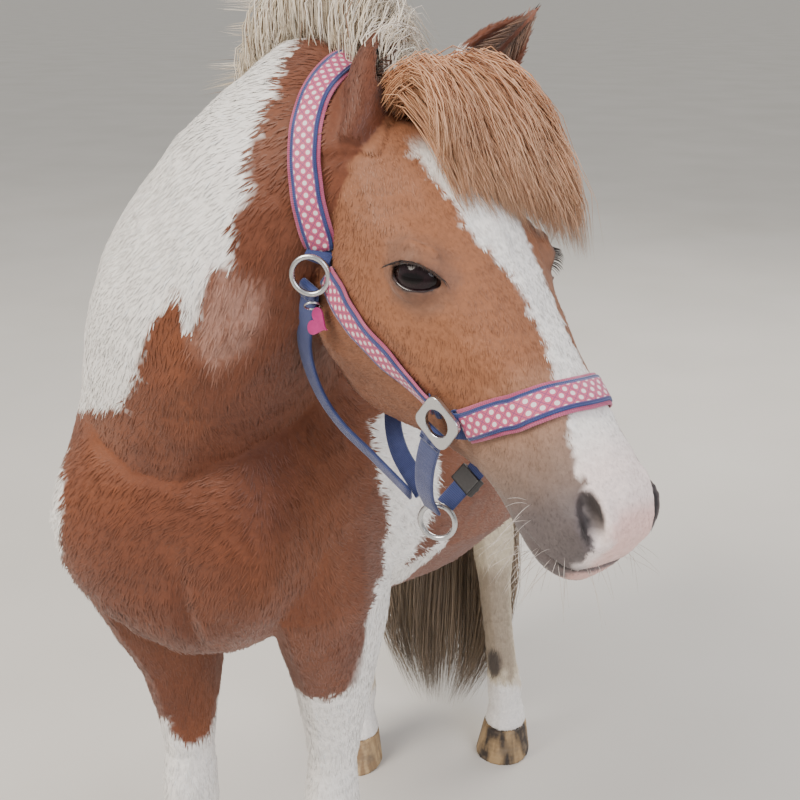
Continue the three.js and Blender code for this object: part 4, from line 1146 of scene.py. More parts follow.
def make_forelock(skin, tree):
    draw = np.random.default_rng(43)
    locks = FORELOCK_LOCKS
    share = draw.uniform(0, 1, locks)
    layer = draw.uniform(-0.2, 2.4, locks)
    root = -22 + 62 * share
    end = -22 + 134 * share + draw.normal(0, 6, locks)
    lift = 10 + 11 * layer + 10 * share
    reach = FORELOCK_REACH + FORELOCK_REACH_MORE * share
    reach = reach * (1 - 0.13 * layer + draw.uniform(-0.1, 0.08, locks))
    flat = np.zeros(locks)
    guides = np.stack([
        np.stack([root, 8 + draw.uniform(-14, 10, locks), 0 + flat], axis=1),
        np.stack([root + (end - root) * 0.1, -6 + flat, 12 + lift], axis=1),
        np.stack([root + (end - root) * 0.45, -0.45 * reach, 14 + 1.1 * lift], axis=1),
        np.stack([root + (end - root) * 0.8, -0.8 * reach, 14 + 0.7 * lift - 10 * share], axis=1),
        np.stack([end, -reach - 6, 12 - 26 * share * share], axis=1),
    ], axis=1)
    paths = keep_out(on_head(gather(guides, FORELOCK_STRANDS, 5.5, 3.2, 53)), tree, 1.6 * MM)
    count = len(paths)
    tint = np.repeat(draw.uniform(0, 1, locks), FORELOCK_STRANDS) + draw.normal(0, 0.2, count)
    tint = np.clip(tint, 0, 1)
    colours = blend(rgb("#b97d54"), rgb("#dfab82"), tint)
    strand_piece("forelock_hair", "hair_forelock", paths, FORELOCK_WIDTH, colours,
                 blend(colours, rgb("#e2bb9a"), 0.5 + 0 * tint),
                 hair_material("long_sorrel_forelock_hair", 0.4, 0.6),
                 root_spots(skin, paths, "head"), 63, "forelock")


def make_tail(skin, tree):
    draw = np.random.default_rng(47)
    back, front = (np.array([row[k] for row in TAIL_ROWS], float) for k in (0, 1))
    half = np.array([row[2] for row in TAIL_ROWS], float)
    locks = TAIL_LOCKS
    turn = draw.uniform(0, 2 * math.pi, locks)
    far = np.sqrt(draw.uniform(0.1, 1, locks))
    start = draw.uniform(0.0, 0.28, locks) ** 1.2
    end = draw.uniform(0.72, 0.985, locks)
    knots = np.linspace(0, 1, len(TAIL_ROWS))
    guides = np.zeros((locks, TAIL_KNOTS, 3))
    for k in range(TAIL_KNOTS):
        at = start + (end - start) * k / (TAIL_KNOTS - 1)
        middle, reach = (np.stack([np.interp(at, knots, row[:, axis] / 2) for axis in range(3)], axis=1)
                         for row in (back + front, back - front))
        wide = np.interp(at, knots, half)
        spread = far * min(1, 0.3 + 0.17 * k)
        guides[:, k] = middle + reach * (np.sin(turn) * spread)[:, None]
        guides[:, k, 0] += np.cos(turn) * wide * spread + 5 * np.sin(k * 1.1 + turn * 5)
    paths = on_body(gather(guides, TAIL_STRANDS, 7, 6, 55))
    paths[:, :, 2] = np.maximum(paths[:, :, 2], TAIL_FLOOR)
    paths = keep_out(paths, tree, 2.0 * MM)
    count = len(paths)
    tint = np.repeat(draw.uniform(-0.1, 1, locks), TAIL_STRANDS) + draw.normal(0, 0.22, count)
    tint = np.clip(tint, 0, 1)
    colours = blend(rgb("#6b5646"), rgb("#a58f78"), tint)
    material = hair_material("long_tail_hair", 0.45, 0.6)
    left = np.repeat(np.cos(turn) > 0, TAIL_STRANDS)
    for number, (side, mine) in enumerate((("left", left), ("right", ~left))):
        strand_piece(f"tail_hair_{side}", "hair_tail", paths[mine], TAIL_WIDTH, colours[mine],
                     blend(colours[mine], rgb("#a3917a"), 0.4 + 0 * tint[mine]), material,
                     root_spots(skin, paths[mine], "trunk"), 65 + number, "tail")


def make_small_hair(skin, tree):
    """Hair in the ears, the eyelashes and the whiskers."""
    draw = np.random.default_rng(49)
    paths, colours = [], []
    at = np.linspace(0, 1, STRAND_KNOTS)[None, :, None]
    for side, sign in SIDES:
        root, axes = ear_axes(side)
        count = EAR_HAIRS
        up = draw.uniform(14, 88, count)
        edge = draw.choice([-1, 1], count) * draw.uniform(0.3, 0.95, count)
        half = np.interp(up, CUP_HEIGHTS, CUP_HALVES)
        start = np.stack([edge * half, -3 - 9 * edge ** 2, up], axis=1)
        lean = np.stack([-edge * half * 0.8, -8 + 0 * up, draw.uniform(12, 30, count)], axis=1)
        path = start[:, None] + lean[:, None] * at + np.array([0, -4.0, 0]) * at * (1 - at) * 2
        paths.append(on_head(root + path @ axes.T))
        colours.append(blend(rgb("#4a3228"), rgb("#8a6a55"), draw.uniform(0, 1, count)))
        spot = np.linspace(0.08, 0.92, LASHES)
        lid = lid_rim(side, EYE_RADIUS + 1.2, spot * 0.5)
        outward = unit(lid - on_head([eye_centre(sign)]))
        down = np.array(HEAD_AXES @ Vector((0, -0.4, -0.6)))
        path = lid[:, None] + (outward[:, None] * 11 + down * 9 * at) * MM * at
        paths.append(path + draw.normal(0, 0.4 * MM, (LASHES, 1, 3)) * at)
        colours.append(np.tile(rgb("#2a1c18"), (LASHES, 1)))
    paths, colours = np.concatenate(paths), np.concatenate(colours)
    strand_piece("ear_and_lid_hair", "coat_chestnut", paths, SMALL_HAIR_WIDTH, colours, colours,
                 hair_material("fine_horse_hair", 0.5, 0.3), root_spots(skin, paths, "head"), 67)
    roots, outward = [], []
    for _ in range(WHISKERS):
        sign = draw.choice([-1, 1])
        spot = np.array([sign * draw.uniform(16, 46), draw.uniform(-388, -330), draw.uniform(-112, -62)])
        hit, normal, _, _ = tree.find_nearest(Vector(on_head([spot])[0]))
        roots.append(hit)
        outward.append(normal)
    roots, outward = np.array(roots)[:, None], np.array(outward)[:, None]
    drop = np.array([0, 0, -1.0])
    long = draw.uniform(18, 42, (WHISKERS, 1, 1)) * MM
    away = unit(outward + 0.3 * draw.normal(size=(WHISKERS, 1, 3)))
    whiskers = roots + long * at * away + drop * long * 0.35 * at ** 2
    tone = np.tile(rgb("#cfc4ba"), (WHISKERS, 1))
    strand_piece("whiskers", "coat_white", whiskers, WHISKER_WIDTH, tone, tone,
                 hair_material("whisker_hair", 0.4, 0.3), root_spots(skin, whiskers, "head"), 69)


# Eyes

LID_HALF = 23
LID_HIGH = 10.5
GAZE_SLANT = math.radians(60)
GAZE_TURN = 0.3
GAZE = Matrix.Rotation(-GAZE_TURN, 3, "Z") @ Matrix.Rotation(-GAZE_TURN, 3, "Y")
RIM_PLACES = 56
RIM_OUT = 0.4                # from the eyeball's surface, in millimetres
# The corners of the curves along the upper and the lower lid, across and up
UPPER_LID = [(-LID_HALF, 0), (-0.55 * LID_HALF, 1.4 * LID_HIGH), (0.4 * LID_HALF, 1.5 * LID_HIGH),
             (LID_HALF, 0)]
LOWER_LID = [(LID_HALF, 0), (0.45 * LID_HALF, -1.25 * LID_HIGH), (-0.5 * LID_HALF, -1.25 * LID_HIGH),
             (-LID_HALF, 0)]


def lid_rim(side, radius, shares):
    """Places on the edge of the lids: the upper lid for shares from 0 to a half, then the lower one."""
    sign = 1 if side == "left" else -1
    made = []
    for share in shares:
        corners = UPPER_LID if share < 0.5 else LOWER_LID
        t = (share * 2) % 1
        weights = ((1 - t) ** 3, 3 * t * (1 - t) ** 2, 3 * t * t * (1 - t), t ** 3)
        across = sum(w * c[0] for w, c in zip(weights, corners))
        high = sum(w * c[1] for w, c in zip(weights, corners))
        y = high * math.cos(GAZE_SLANT) + across * math.sin(GAZE_SLANT)
        z = high * math.sin(GAZE_SLANT) - across * math.cos(GAZE_SLANT)
        depth = math.sqrt(max(radius ** 2 - y * y - z * z, 1))
        place = GAZE @ Vector((depth, y, z))
        made.append((sign * (place.x + EYE.x), place.y + EYE.y, place.z + EYE.z))
    return on_head(made)


def eye_material():
    """A wet horse eye: a nearly black brown iris behind the clear cornea."""
    material, tree, shader = start_material("wet_horse_eye", Roughness=0.1, Specular_IOR_Level=0.1,
                                            Coat_Weight=0.6, Coat_Roughness=0.02, Coat_IOR=1.38)
    colour = add_node(tree, "Attribute", attribute_name="coat")
    spot = add_node(tree, "TexCoord")
    grain = add_node(tree, "TexNoise", {"Vector": spot.outputs["Object"], "Scale": 420.0, "Detail": 3.0})
    light = add_node(tree, "HueSaturation", {"Color": colour.outputs["Color"], "Value": 1.35})
    mottled = ramp(tree, grain.outputs["Fac"], 0.35, 0.7, colour.outputs["Color"], light.outputs["Color"])
    tree.links.new(mottled, shader.inputs["Base Color"])
    return material


def make_eyes():
    material = eye_material()
    lid_material, tree, shader = start_material("moist_eyelid_rim", Roughness=0.22, Coat_Weight=0.6,
                                                Coat_Roughness=0.1)
    spot = add_node(tree, "TexCoord")
    grain = add_node(tree, "TexNoise", {"Vector": spot.outputs["Object"], "Scale": 300.0})
    tree.links.new(ramp(tree, grain.outputs["Fac"], 0.3, 0.7, paint("#1d1314"), paint("#3a2a2a")),
                   shader.inputs["Base Color"])
    for side, sign in SIDES:
        centre = Vector(on_head([eye_centre(sign)])[0])
        shape = bmesh.new()
        bmesh.ops.create_uvsphere(shape, u_segments=64, v_segments=40, radius=(EYE_RADIUS - 0.5) * MM)
        gaze = GAZE @ Vector((1, 0, 0))
        gaze = (HEAD_AXES @ Vector((sign * gaze.x, gaze.y, gaze.z))).normalized()
        turn = Vector((0, 0, 1)).rotation_difference(gaze).to_matrix().to_4x4()
        bmesh.ops.transform(shape, matrix=Matrix.Translation(centre) @ turn, verts=shape.verts)
        mesh = smooth_faces(mesh_of(shape, f"eyeball_{side}"))
        outward = unit(points_of(mesh) - np.array(centre))
        tilt = np.degrees(np.arccos(np.clip(outward @ np.array(gaze), -1, 1)))
        level = np.cross(np.array(gaze), np.array((0, 0, 1.0)))
        across, high = outward @ unit(level), outward @ np.cross(unit(level), np.array(gaze))
        pupil = smoothstep(1.15, 0.85, np.hypot(across / 0.42, high / 0.2))
        colours = np.tile(rgb("#1d1014"), (len(outward), 1))
        colours = blend(colours, rgb("#0b0708"), pupil)
        colours = blend(colours, rgb("#150d0d"), smoothstep(38, 44, tilt))
        colours = blend(colours, rgb("#5a3f38"), smoothstep(52, 66, tilt))
        set_colour(mesh, "coat", colours)
        join_model(new_object(mesh.name, mesh, material), "eye", f"eye_{side}")
        rim = lid_rim(side, EYE_RADIUS + RIM_OUT, np.linspace(0, 1, RIM_PLACES, endpoint=False))
        rim = (np.roll(rim, 1, axis=0) + 2 * rim + np.roll(rim, -1, axis=0)) / 4
        outs = unit(rim - np.array(centre))
        edge = sweep(f"lid_rim_{side}", np.vstack([rim, rim[:1]]), np.vstack([outs, outs[:1]]),
                     round_profile(1.7, 1.5, 8))
        edge.data.materials.append(lid_material)
        join_model(edge, "eye")


def round_profile(across, high, sides):
    return [(across * math.cos(a), high * math.sin(a)) for a in np.arange(sides) * 2 * math.pi / sides]


def sweep(name, route, outs, profile, ends=True):
    """A profile, in millimetres across and outward, drawn along a route. Its points keep how far along
    and across they lie, in metres, as run and over."""
    route, outs = np.asarray(route, float), unit(np.asarray(outs, float))
    ahead = unit(np.gradient(route, axis=0))
    if np.allclose(route[0], route[-1]):
        ahead[0] = ahead[-1] = unit(ahead[0] + ahead[-1])
    side = unit(np.cross(ahead, outs))
    away = np.cross(side, ahead)
    run = np.concatenate([[0], np.cumsum(np.linalg.norm(np.diff(route, axis=0), axis=1))])
    shape = bmesh.new()
    number = shape.verts.layers.int.new("number")
    along = shape.verts.layers.float.new("run")
    over = shape.verts.layers.float.new("over")
    ring = [shape.verts.new() for _ in profile]
    for i, vertex in enumerate(ring):
        vertex[number] = i
    edges = [shape.edges.new(pair) for pair in zip(ring, ring[1:] + ring[:1])]
    for step in range(len(route)):
        if step:
            made = bmesh.ops.extrude_edge_only(shape, edges=edges)["geom"]
            edges = [one for one in made if isinstance(one, bmesh.types.BMEdge)]
            ring = [one for one in made if isinstance(one, bmesh.types.BMVert)]
        for vertex in ring:
            across, high = profile[vertex[number]]
            vertex.co = route[step] + (side[step] * across + away[step] * high) * MM
            vertex[along] = run[step]
            vertex[over] = across * MM
    bmesh.ops.remove_doubles(shape, verts=shape.verts, dist=1e-6)
    if ends:
        bmesh.ops.holes_fill(shape, edges=[e for e in shape.edges if e.is_boundary], sides=len(profile))
    bmesh.ops.recalc_face_normals(shape, faces=shape.faces)
    return new_object(name, smooth_faces(mesh_of(shape, name)))


# Hooves

RING_SPACE = 3.4             # millimetres between the growth rings of a hoof
RING_HEIGHT = 0.25 * MM
HOOF_VOXEL = 2.2 * MM
HOOF_ROUNDS = 16


def hoof_material(name, dark, light, stripe, edge):
    """Hoof horn: matt, in fine rings, with faint stripes down its wall and mud worn into it."""
    material, tree, shader = start_material(name, Roughness=0.58, Specular_IOR_Level=0.4)
    spot = add_node(tree, "TexCoord")
    place = spot.outputs["Object"]
    rings = add_node(tree, "TexWave", {"Vector": place, "Scale": 48.0, "Distortion": 1.4, "Detail": 2.0},
                     bands_direction="Z")
    tall = add_node(tree, "Mapping", {"Vector": place, "Scale": (1.0, 1.0, 0.06)})
    down = add_node(tree, "TexNoise", {"Vector": tall.outputs["Vector"], "Scale": stripe, "Detail": 4.0})
    wall = ramp(tree, down.outputs["Fac"], edge - 0.08, edge + 0.08, paint(dark), paint(light))
    dust = add_node(tree, "TexNoise", {"Vector": place, "Scale": 60.0, "Detail": 5.0})
    soiled = ramp(tree, dust.outputs["Fac"], 0.48, 0.75, wall, paint("#7d6c58"))
    tree.links.new(soiled, shader.inputs["Base Color"])
    raised = add_node(tree, "Bump", {"Height": rings.outputs["Fac"], "Distance": 0.0005, "Strength": 0.6})
    tree.links.new(raised.outputs["Normal"], shader.inputs["Normal"])
    return material


def make_hooves():
    amber = hoof_material("pale_hoof_horn", "#8d7355", "#b59a74", 90.0, 0.5)
    striped = hoof_material("striped_hoof_horn", "#38302b", "#a88c66", 40.0, 0.52)
    for pair in ("fore", "hind"):
        for side in ("left", "right"):
            node = f"hoof_{pair}_{side}"
            shape = bmesh.new()
            shape.from_mesh(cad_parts[node].data)
            bmesh.ops.remove_doubles(shape, verts=shape.verts, dist=1e-6)
            mesh = with_modifier(mesh_of(shape, node), "REMESH", mode="VOXEL",
                                 voxel_size=HOOF_VOXEL, adaptivity=0.0)
            places = points_of(mesh)
            free = smoothstep(0.5 * MM, 5 * MM, places[:, 2])
            free = free * (0.25 + 0.75 * smoothstep(0.051, 0.046, places[:, 2]))
            smooth = relax(places, edges_of(mesh), free, HOOF_ROUNDS)
            middle = smooth[:, :2].mean(axis=0)
            out = unit(smooth[:, :2] - middle)
            wall = smoothstep(0.002, 0.008, smooth[:, 2]) * smoothstep(0.0515, 0.049, smooth[:, 2])
            swell = RING_HEIGHT * np.sin(smooth[:, 2] / (RING_SPACE * MM) * 2 * math.pi) * wall
            smooth[:, :2] += out * swell[:, None]
            smooth[:, 2] = np.maximum(smooth[:, 2], 0)
            smooth[places[:, 2] < 0.4 * MM, 2] = 0
            smooth_faces(mesh)
            move_points(mesh, smooth)
            material = striped if node == "hoof_hind_left" else amber
            join_model(new_object(f"{node}_horn", mesh, material), "horn", node)


# Halter. Its routes are in the head's frame, for the left side, as on the solids.

UPPER_RING = (85, -78, -108)
LOWER_RING = (60, -240, -92)
CHIN_RING = (286, -493, 779)      # in the body's frame
RING_REACH = 18
RING_WIRE = 2.4
UPPER_FACE = (0.8, -0.5, 0.3)
LOWER_FACE = (0.97, -0.2, -0.1)
CHEEK_ROUTE = [(70, -84, -106), (64, -150, -98), (52, -226, -91)]
CROWN_ROUTE = [(76, -62, -96), (91, -37, -68), (92, -13, -48), (82, 14, -29), (62, 40, -14), (30, 62, 0),
               (0, 70, 4)]
NOSE_ROUTE = [(51, -254, -78), (44, -268, -48), (38, -278, -22), (0, -284, -6)]
THROAT_ROUTE = [(76, -78, -124), (72, -86, -150), (62, -98, -186), (46, -122, -216), (30, -152, -231),
                (15, -190, -231), (7, -238, -221)]
JAW_ROUTE = [(54, -240, -108), (40, -246, -150), (24, -254, -184), (7, -262, -206)]
TAG_PLACE = (-79, -108, -134)
PAD = {"width": 28.5, "thick": 2.2}
WEBBING = {"width": 23, "thick": 1.6}
RIBBON = {"width": 18.5, "thick": 0.5}
LAYERS = [("pad", PAD, "ribbon"), ("webbing", WEBBING, "webbing"), ("ribbon", RIBBON, "ribbon")]
LAYER_SINK = 0.15            # each layer sinks this far into the one below
THROAT_WIDTH = 18
JAW_WIDTH = 20
HANGING_THICK = 3.0
PLATE_BAR = 3.4
BAR_REACH = {"upper": RING_REACH - RING_WIRE, "lower": RING_REACH - PLATE_BAR}
FOLD_LONG = 15
# A strap's end folded round a bar: along the strap and outward from it
FOLD_ROUTE = [(FOLD_LONG, 2.6), (4, 2.9), (0, 2.9), (-2.2, 2.0), (-3.1, 0), (-2.2, -2.0), (0, -2.6),
              (4, -1.8), (FOLD_LONG, -1.2)]
FOLD_THICK = 1.4
STITCH = (2.4, 0.55, 0.5)
RAY_START = 120              # how far outside its route a strap starts toward the skin
LAID_ROUNDS = 6              # how often a laid route is evened out
BUCKLE_SHARES = (0.58, 0.78)  # where the slide sits along the left strap of the jaw
SPLIT_RING = 6.5             # its radius
STRAP_OFF = 1.9              # from the skin to the padding's inner face
PITCH = 9.2                  # millimetres from dot to dot along the ribbon


def flat_profile(width, thick, low):
    """The outline of a flat strap's cut end, with rounded edges; low is the height of its inner face."""
    half, round_ = width / 2, thick / 2
    right = [(half - round_ + round_ * math.cos(a), low + round_ + round_ * math.sin(a))
             for a in np.linspace(-math.pi / 2, math.pi / 2, 5)]
    middle = [(0.5 * half, low + thick), (0, low + thick), (-0.5 * half, low + thick)]
    left = [(-x, y) for x, y in reversed(right)]
    under = [(-0.5 * half, low), (0, low), (0.5 * half, low)]
    return right + middle + left + under


def woven(tree, thread, depth, shader):
    """The raised threads of a weave along and across a strap, as a bump."""
    along = add_node(tree, "Attribute", attribute_name="run")
    over = add_node(tree, "Attribute", attribute_name="over")
    place = add_node(tree, "CombineXYZ", {"X": along.outputs["Fac"], "Y": over.outputs["Fac"]})
    warp, weft = (
        add_node(tree, "TexWave", {"Vector": place.outputs["Vector"], "Scale": scale / thread},
                 bands_direction=way)
        for scale, way in ((0.31, "Y"), (0.22, "X"))
    )
    both = add_node(tree, "Math", {0: warp.outputs["Fac"], 1: weft.outputs["Fac"]}, operation="MULTIPLY")
    raised = add_node(tree, "Bump", {"Height": both.outputs["Value"], "Distance": depth, "Strength": 0.9})
    tree.links.new(raised.outputs["Normal"], shader.inputs["Normal"])
    return along.outputs["Fac"], over.outputs["Fac"], both.outputs["Value"]


def webbing_material(name, dark, light, roughness):
    """Woven polyester webbing: threads of about 1 mm, dull, with painted shade in the hollows of the weave.
    """
    material, tree, shader = start_material(name, Roughness=roughness, Sheen_Weight=0.35, Sheen_Roughness=0.4,
                                            Specular_IOR_Level=0.3)
    _, _, height = woven(tree, 1.1 * MM, 0.4 * MM, shader)
    spot = add_node(tree, "TexCoord")
    worn = add_node(tree, "TexNoise", {"Vector": spot.outputs["Object"], "Scale": 55.0, "Detail": 4.0})
    even = ramp(tree, worn.outputs["Fac"], 0.35, 0.75, paint(dark), paint(light))
    weave_hollow_shade = add_node(tree, "HueSaturation", {"Color": even, "Value": 0.62})
    # Painted shade in the hollows of the weave
    tree.links.new(ramp(tree, height, 0.0, 0.5, weave_hollow_shade.outputs["Color"], even), shader.inputs["Base Color"])
    return material


def ribbon_material():
    """Woven satin ribbon: pink, with staggered white dots, each in a diamond of mauve threads."""
    material, tree, shader = start_material("woven_dotted_satin_ribbon", Roughness=0.42, Sheen_Weight=0.3,
                                            Sheen_Roughness=0.3, Specular_IOR_Level=0.45)
    along, over, height = woven(tree, 0.7 * MM, 0.15 * MM, shader)
    sums = [add_node(tree, "Math", {0: along, 1: over}, operation=kind) for kind in ("ADD", "SUBTRACT")]
    cells = []
    for one in sums:
        scaled = add_node(tree, "Math", {0: one.outputs["Value"], 1: 1 / (PITCH * MM)}, operation="MULTIPLY")
        part = add_node(tree, "Math", {0: scaled.outputs["Value"]}, operation="FRACT")
        centred = add_node(tree, "Math", {0: part.outputs["Value"], 1: 0.5}, operation="SUBTRACT")
        even = add_node(tree, "Math", {0: centred.outputs["Value"]}, operation="ABSOLUTE")
        cells.append(even.outputs["Value"])
    wide = add_node(tree, "CombineXYZ", {"X": cells[0], "Y": cells[1]})
    far = add_node(tree, "VectorMath", {0: wide.outputs["Vector"]}, operation="LENGTH")
    border = add_node(tree, "Math", {0: cells[0], 1: cells[1]}, operation="MAXIMUM")
    lined = ramp(tree, border.outputs["Value"], 0.45, 0.47, paint("#cf5f7e"), paint("#8a4a78"))
    dotted = ramp(tree, far.outputs["Value"], 0.27, 0.3, paint("#f3e6ea"), lined)
    side = add_node(tree, "Math", {0: over}, operation="ABSOLUTE")
    edged = ramp(tree, side.outputs["Value"], 8.1 * MM, 8.3 * MM, dotted, paint("#5a4a80"))
    # Painted shade in the hollows of the weave
    shaded = add_node(tree, "HueSaturation", {"Color": edged, "Value": 0.8})
    tree.links.new(ramp(tree, height, 0.0, 0.35, shaded.outputs["Color"], edged), shader.inputs["Base Color"])
    return material


def steel_material():
    """Nickel-plated steel: bright, lightly brushed and scratched by wear."""
    material, tree, shader = start_material("nickel_plated_steel", Metallic=1.0)
    shader.inputs["Base Color"].default_value = paint("#c4c5c6")
    spot = add_node(tree, "TexCoord")
    wear = add_node(tree, "TexNoise", {"Vector": spot.outputs["Object"], "Scale": 240.0, "Detail": 6.0})
    rough = add_node(tree, "MapRange", {"Value": wear.outputs["Fac"], "To Min": 0.16, "To Max": 0.42})
    tree.links.new(rough.outputs["Result"], shader.inputs["Roughness"])
    raised = add_node(tree, "Bump", {"Height": wear.outputs["Fac"], "Distance": 0.0001, "Strength": 0.4})
    tree.links.new(raised.outputs["Normal"], shader.inputs["Normal"])
    return material


def plain_material(name, dark, light, roughness, scale, grain, **constants):
    """A moulded or enamelled finish with a fine grain and a little wear."""
    material, tree, shader = start_material(name, Roughness=roughness, **constants)
    spot = add_node(tree, "TexCoord")
    noise = add_node(tree, "TexNoise", {"Vector": spot.outputs["Object"], "Scale": scale, "Detail": 4.0})
    tree.links.new(ramp(tree, noise.outputs["Fac"], 0.35, 0.7, paint(dark), paint(light)),
                   shader.inputs["Base Color"])
    raised = add_node(tree, "Bump", {"Height": noise.outputs["Fac"], "Distance": grain, "Strength": 0.5})
    tree.links.new(raised.outputs["Normal"], shader.inputs["Normal"])
    return material


def on_side(route, sign):
    return [(sign * x, y, z) for x, y, z in route]


def over_top(route):
    return on_side(route, 1) + list(reversed(on_side(route, -1)))[1:]


def laid(route, steps, tree):
    """A route carried in to the skin: its places there and the directions away from it."""
    spots = curves([route], np.linspace(0, 1, steps))[0]
    away = unit(np.stack([spots[:, 0], 0 * spots[:, 0], spots[:, 2] + 80], axis=1))
    outer = on_head(spots + RAY_START * away)
    inward = -away @ np.array(HEAD_AXES).T
    hits, normals = [], []
    for place, ahead in zip(outer, inward):
        hit, normal, _, _ = tree.ray_cast(Vector(place), Vector(ahead), 2 * RAY_START * MM)
        if hit is None:
            hit, normal, _, _ = tree.find_nearest(Vector(place + ahead * RAY_START * MM))
        hits.append(hit)
        normals.append(normal)
    hits, normals = np.array(hits), np.array(normals)
    for _ in range(LAID_ROUNDS):
        hits[1:-1] = (hits[:-2] + 2 * hits[1:-1] + hits[2:]) / 4
        normals[1:-1] = (normals[:-2] + 2 * normals[1:-1] + normals[2:]) / 4
    return hits, unit(normals)


def halter_piece(piece, slot_name, material, *nodes):
    piece.data.materials.clear()
    piece.data.materials.append(material)
    join_model(piece, slot_name, *nodes)


stitches = []                # each stitch's place and the directions along and out of it


def make_strap(name, hits, normals, finishes, node):
    """Padding, webbing and patterned ribbon, one on another."""
    low = STRAP_OFF
    for layer, size, slot_name in LAYERS:
        profile = flat_profile(size["width"], size["thick"], low)
        piece = sweep(f"halter_{name}_{layer}", hits, normals, profile)
        halter_piece(piece, slot_name, finishes[layer], node)
        low += size["thick"] - LAYER_SINK


def make_fold(name, centre, place, normal, finishes, kind="upper", width=WEBBING["width"]):
    """The end of a strap, folded round the bar of a ring and sewn back on itself."""
    toward = (Vector(place) - centre).normalized()
    away = Vector(normal)
    away = (away - toward * away.dot(toward)).normalized()
    bar = centre + toward * BAR_REACH[kind] * MM
    route = [np.array(bar + (toward * x + away * y) * MM) for x, y in FOLD_ROUTE]
    route = curves([route], np.linspace(0, 1, 33))[0]
    run = np.gradient(route, axis=0)
    level = np.array(toward.cross(away))
    piece = sweep(f"halter_{name}_fold", route, np.cross(level, run),
                  flat_profile(width, FOLD_THICK, -FOLD_THICK / 2))
    halter_piece(piece, "webbing", finishes["webbing"])
    for row in (-0.38, 0.0, 0.38):
        for at in (FOLD_LONG - 3.0, FOLD_LONG - 6.0):
            spot = bar + (toward * at + away * 3.7 + Vector(level) * row * width) * MM
            stitches.append((spot, level, away))


def make_stitches(finish):
    """Short raised stitches on the folded ends."""
    shape = bmesh.new()
    for spot, level, away in stitches:
        side = Vector(level).normalized()
        out = away.normalized()
        turned = Matrix((side, out.cross(side), out)).transposed().to_4x4()
        place = Matrix.Translation(spot) @ turned @ Matrix.Diagonal((*(s * MM for s in STITCH), 1))
        bmesh.ops.create_icosphere(shape, subdivisions=2, radius=1.0, matrix=place)
    halter_piece(new_object("halter_stitches", mesh_of(shape, "halter_stitches")), "webbing", finish)


def make_ring(name, centre, normal, material, node):
    """A round ring of wire."""
    normal = normal.normalized()
    first = normal.orthogonal().normalized()
    second = normal.cross(first)
    route, outs = [], []
    for angle in np.linspace(0, 2 * math.pi, 73):
        out = first * math.cos(angle) + second * math.sin(angle)
        route.append(np.array(centre + out * (RING_REACH - RING_WIRE) * MM))
        outs.append(np.array(out))
    piece = sweep(f"halter_{name}", route, outs, round_profile(RING_WIRE, RING_WIRE, 16), ends=False)
    halter_piece(piece, "steel", material, node)


def thicken(shape, thick, ease):
    """Make a flat face a plate, and ease its edges."""
    made = bmesh.ops.extrude_face_region(shape, geom=list(shape.faces))["geom"]
    lifted = [one for one in made if isinstance(one, bmesh.types.BMVert)]
    bmesh.ops.translate(shape, verts=lifted, vec=(0, 0, thick * MM))
    bmesh.ops.recalc_face_normals(shape, faces=shape.faces)
    sharp = [e for e in shape.edges if e.calc_face_angle(0) > 0.9]
    bmesh.ops.bevel(shape, geom=sharp, offset=ease * MM, segments=3, profile=0.5, affect="EDGES", material=-1)


def make_plate(name, centre, normal, material, node):
    """A square cast plate with rounded corners and a round hole, its edges eased."""
    half, corner, hole, thick = 18, 8, 11.5, 4
    shape = bmesh.new()
    for kind in ("outer", "inner"):
        ring = bmesh.ops.create_circle(shape, segments=64, radius=1.0)["verts"]
        for vertex in ring:
            angle = math.atan2(vertex.co.y, vertex.co.x)
            c, s = math.cos(angle), math.sin(angle)
            if kind == "inner":
                far = hole
            else:
                straight = half / max(abs(c), abs(s))
                core = half - corner
                px, py = abs(c) * straight, abs(s) * straight
                if min(px, py) > core:
                    b = (abs(c) + abs(s)) * core
                    straight = b + math.sqrt(max(b * b - 2 * core * core + corner * corner, 0))
                far = straight
            vertex.co = Vector((c * far, s * far, 0)) * MM
    bmesh.ops.bridge_loops(shape, edges=list(shape.edges))
    thicken(shape, thick, 0.8)
    bmesh.ops.translate(shape, verts=shape.verts, vec=(0, 0, -thick / 2 * MM))
    up = (HEAD_AXES @ Vector((0, 0, 1))).normalized()
    normal = normal.normalized()
    across = up.cross(normal).normalized()
    turned = Matrix((across, normal.cross(across), normal)).transposed().to_4x4()
    bmesh.ops.transform(shape, matrix=Matrix.Translation(centre) @ turned, verts=shape.verts)
    halter_piece(new_object(f"halter_{name}", mesh_of(shape, f"halter_{name}")), "steel", material, node)


def make_hanging(name, route, sign, width, finish, steps=40):
    """A strap of bare webbing that hangs clear of the skin."""
    spots = curves([on_side(route, sign)], np.linspace(0, 1, steps))[0]
    outs = np.tile(np.array((sign, -0.35, -0.5)), (steps, 1)) @ np.array(HEAD_AXES).T
    piece = sweep(f"halter_{name}", on_head(spots), outs,
                  flat_profile(width, HANGING_THICK, -HANGING_THICK / 2))
    halter_piece(piece, "webbing", finish, f"halter_{name}")
    return on_head(spots), unit(outs)


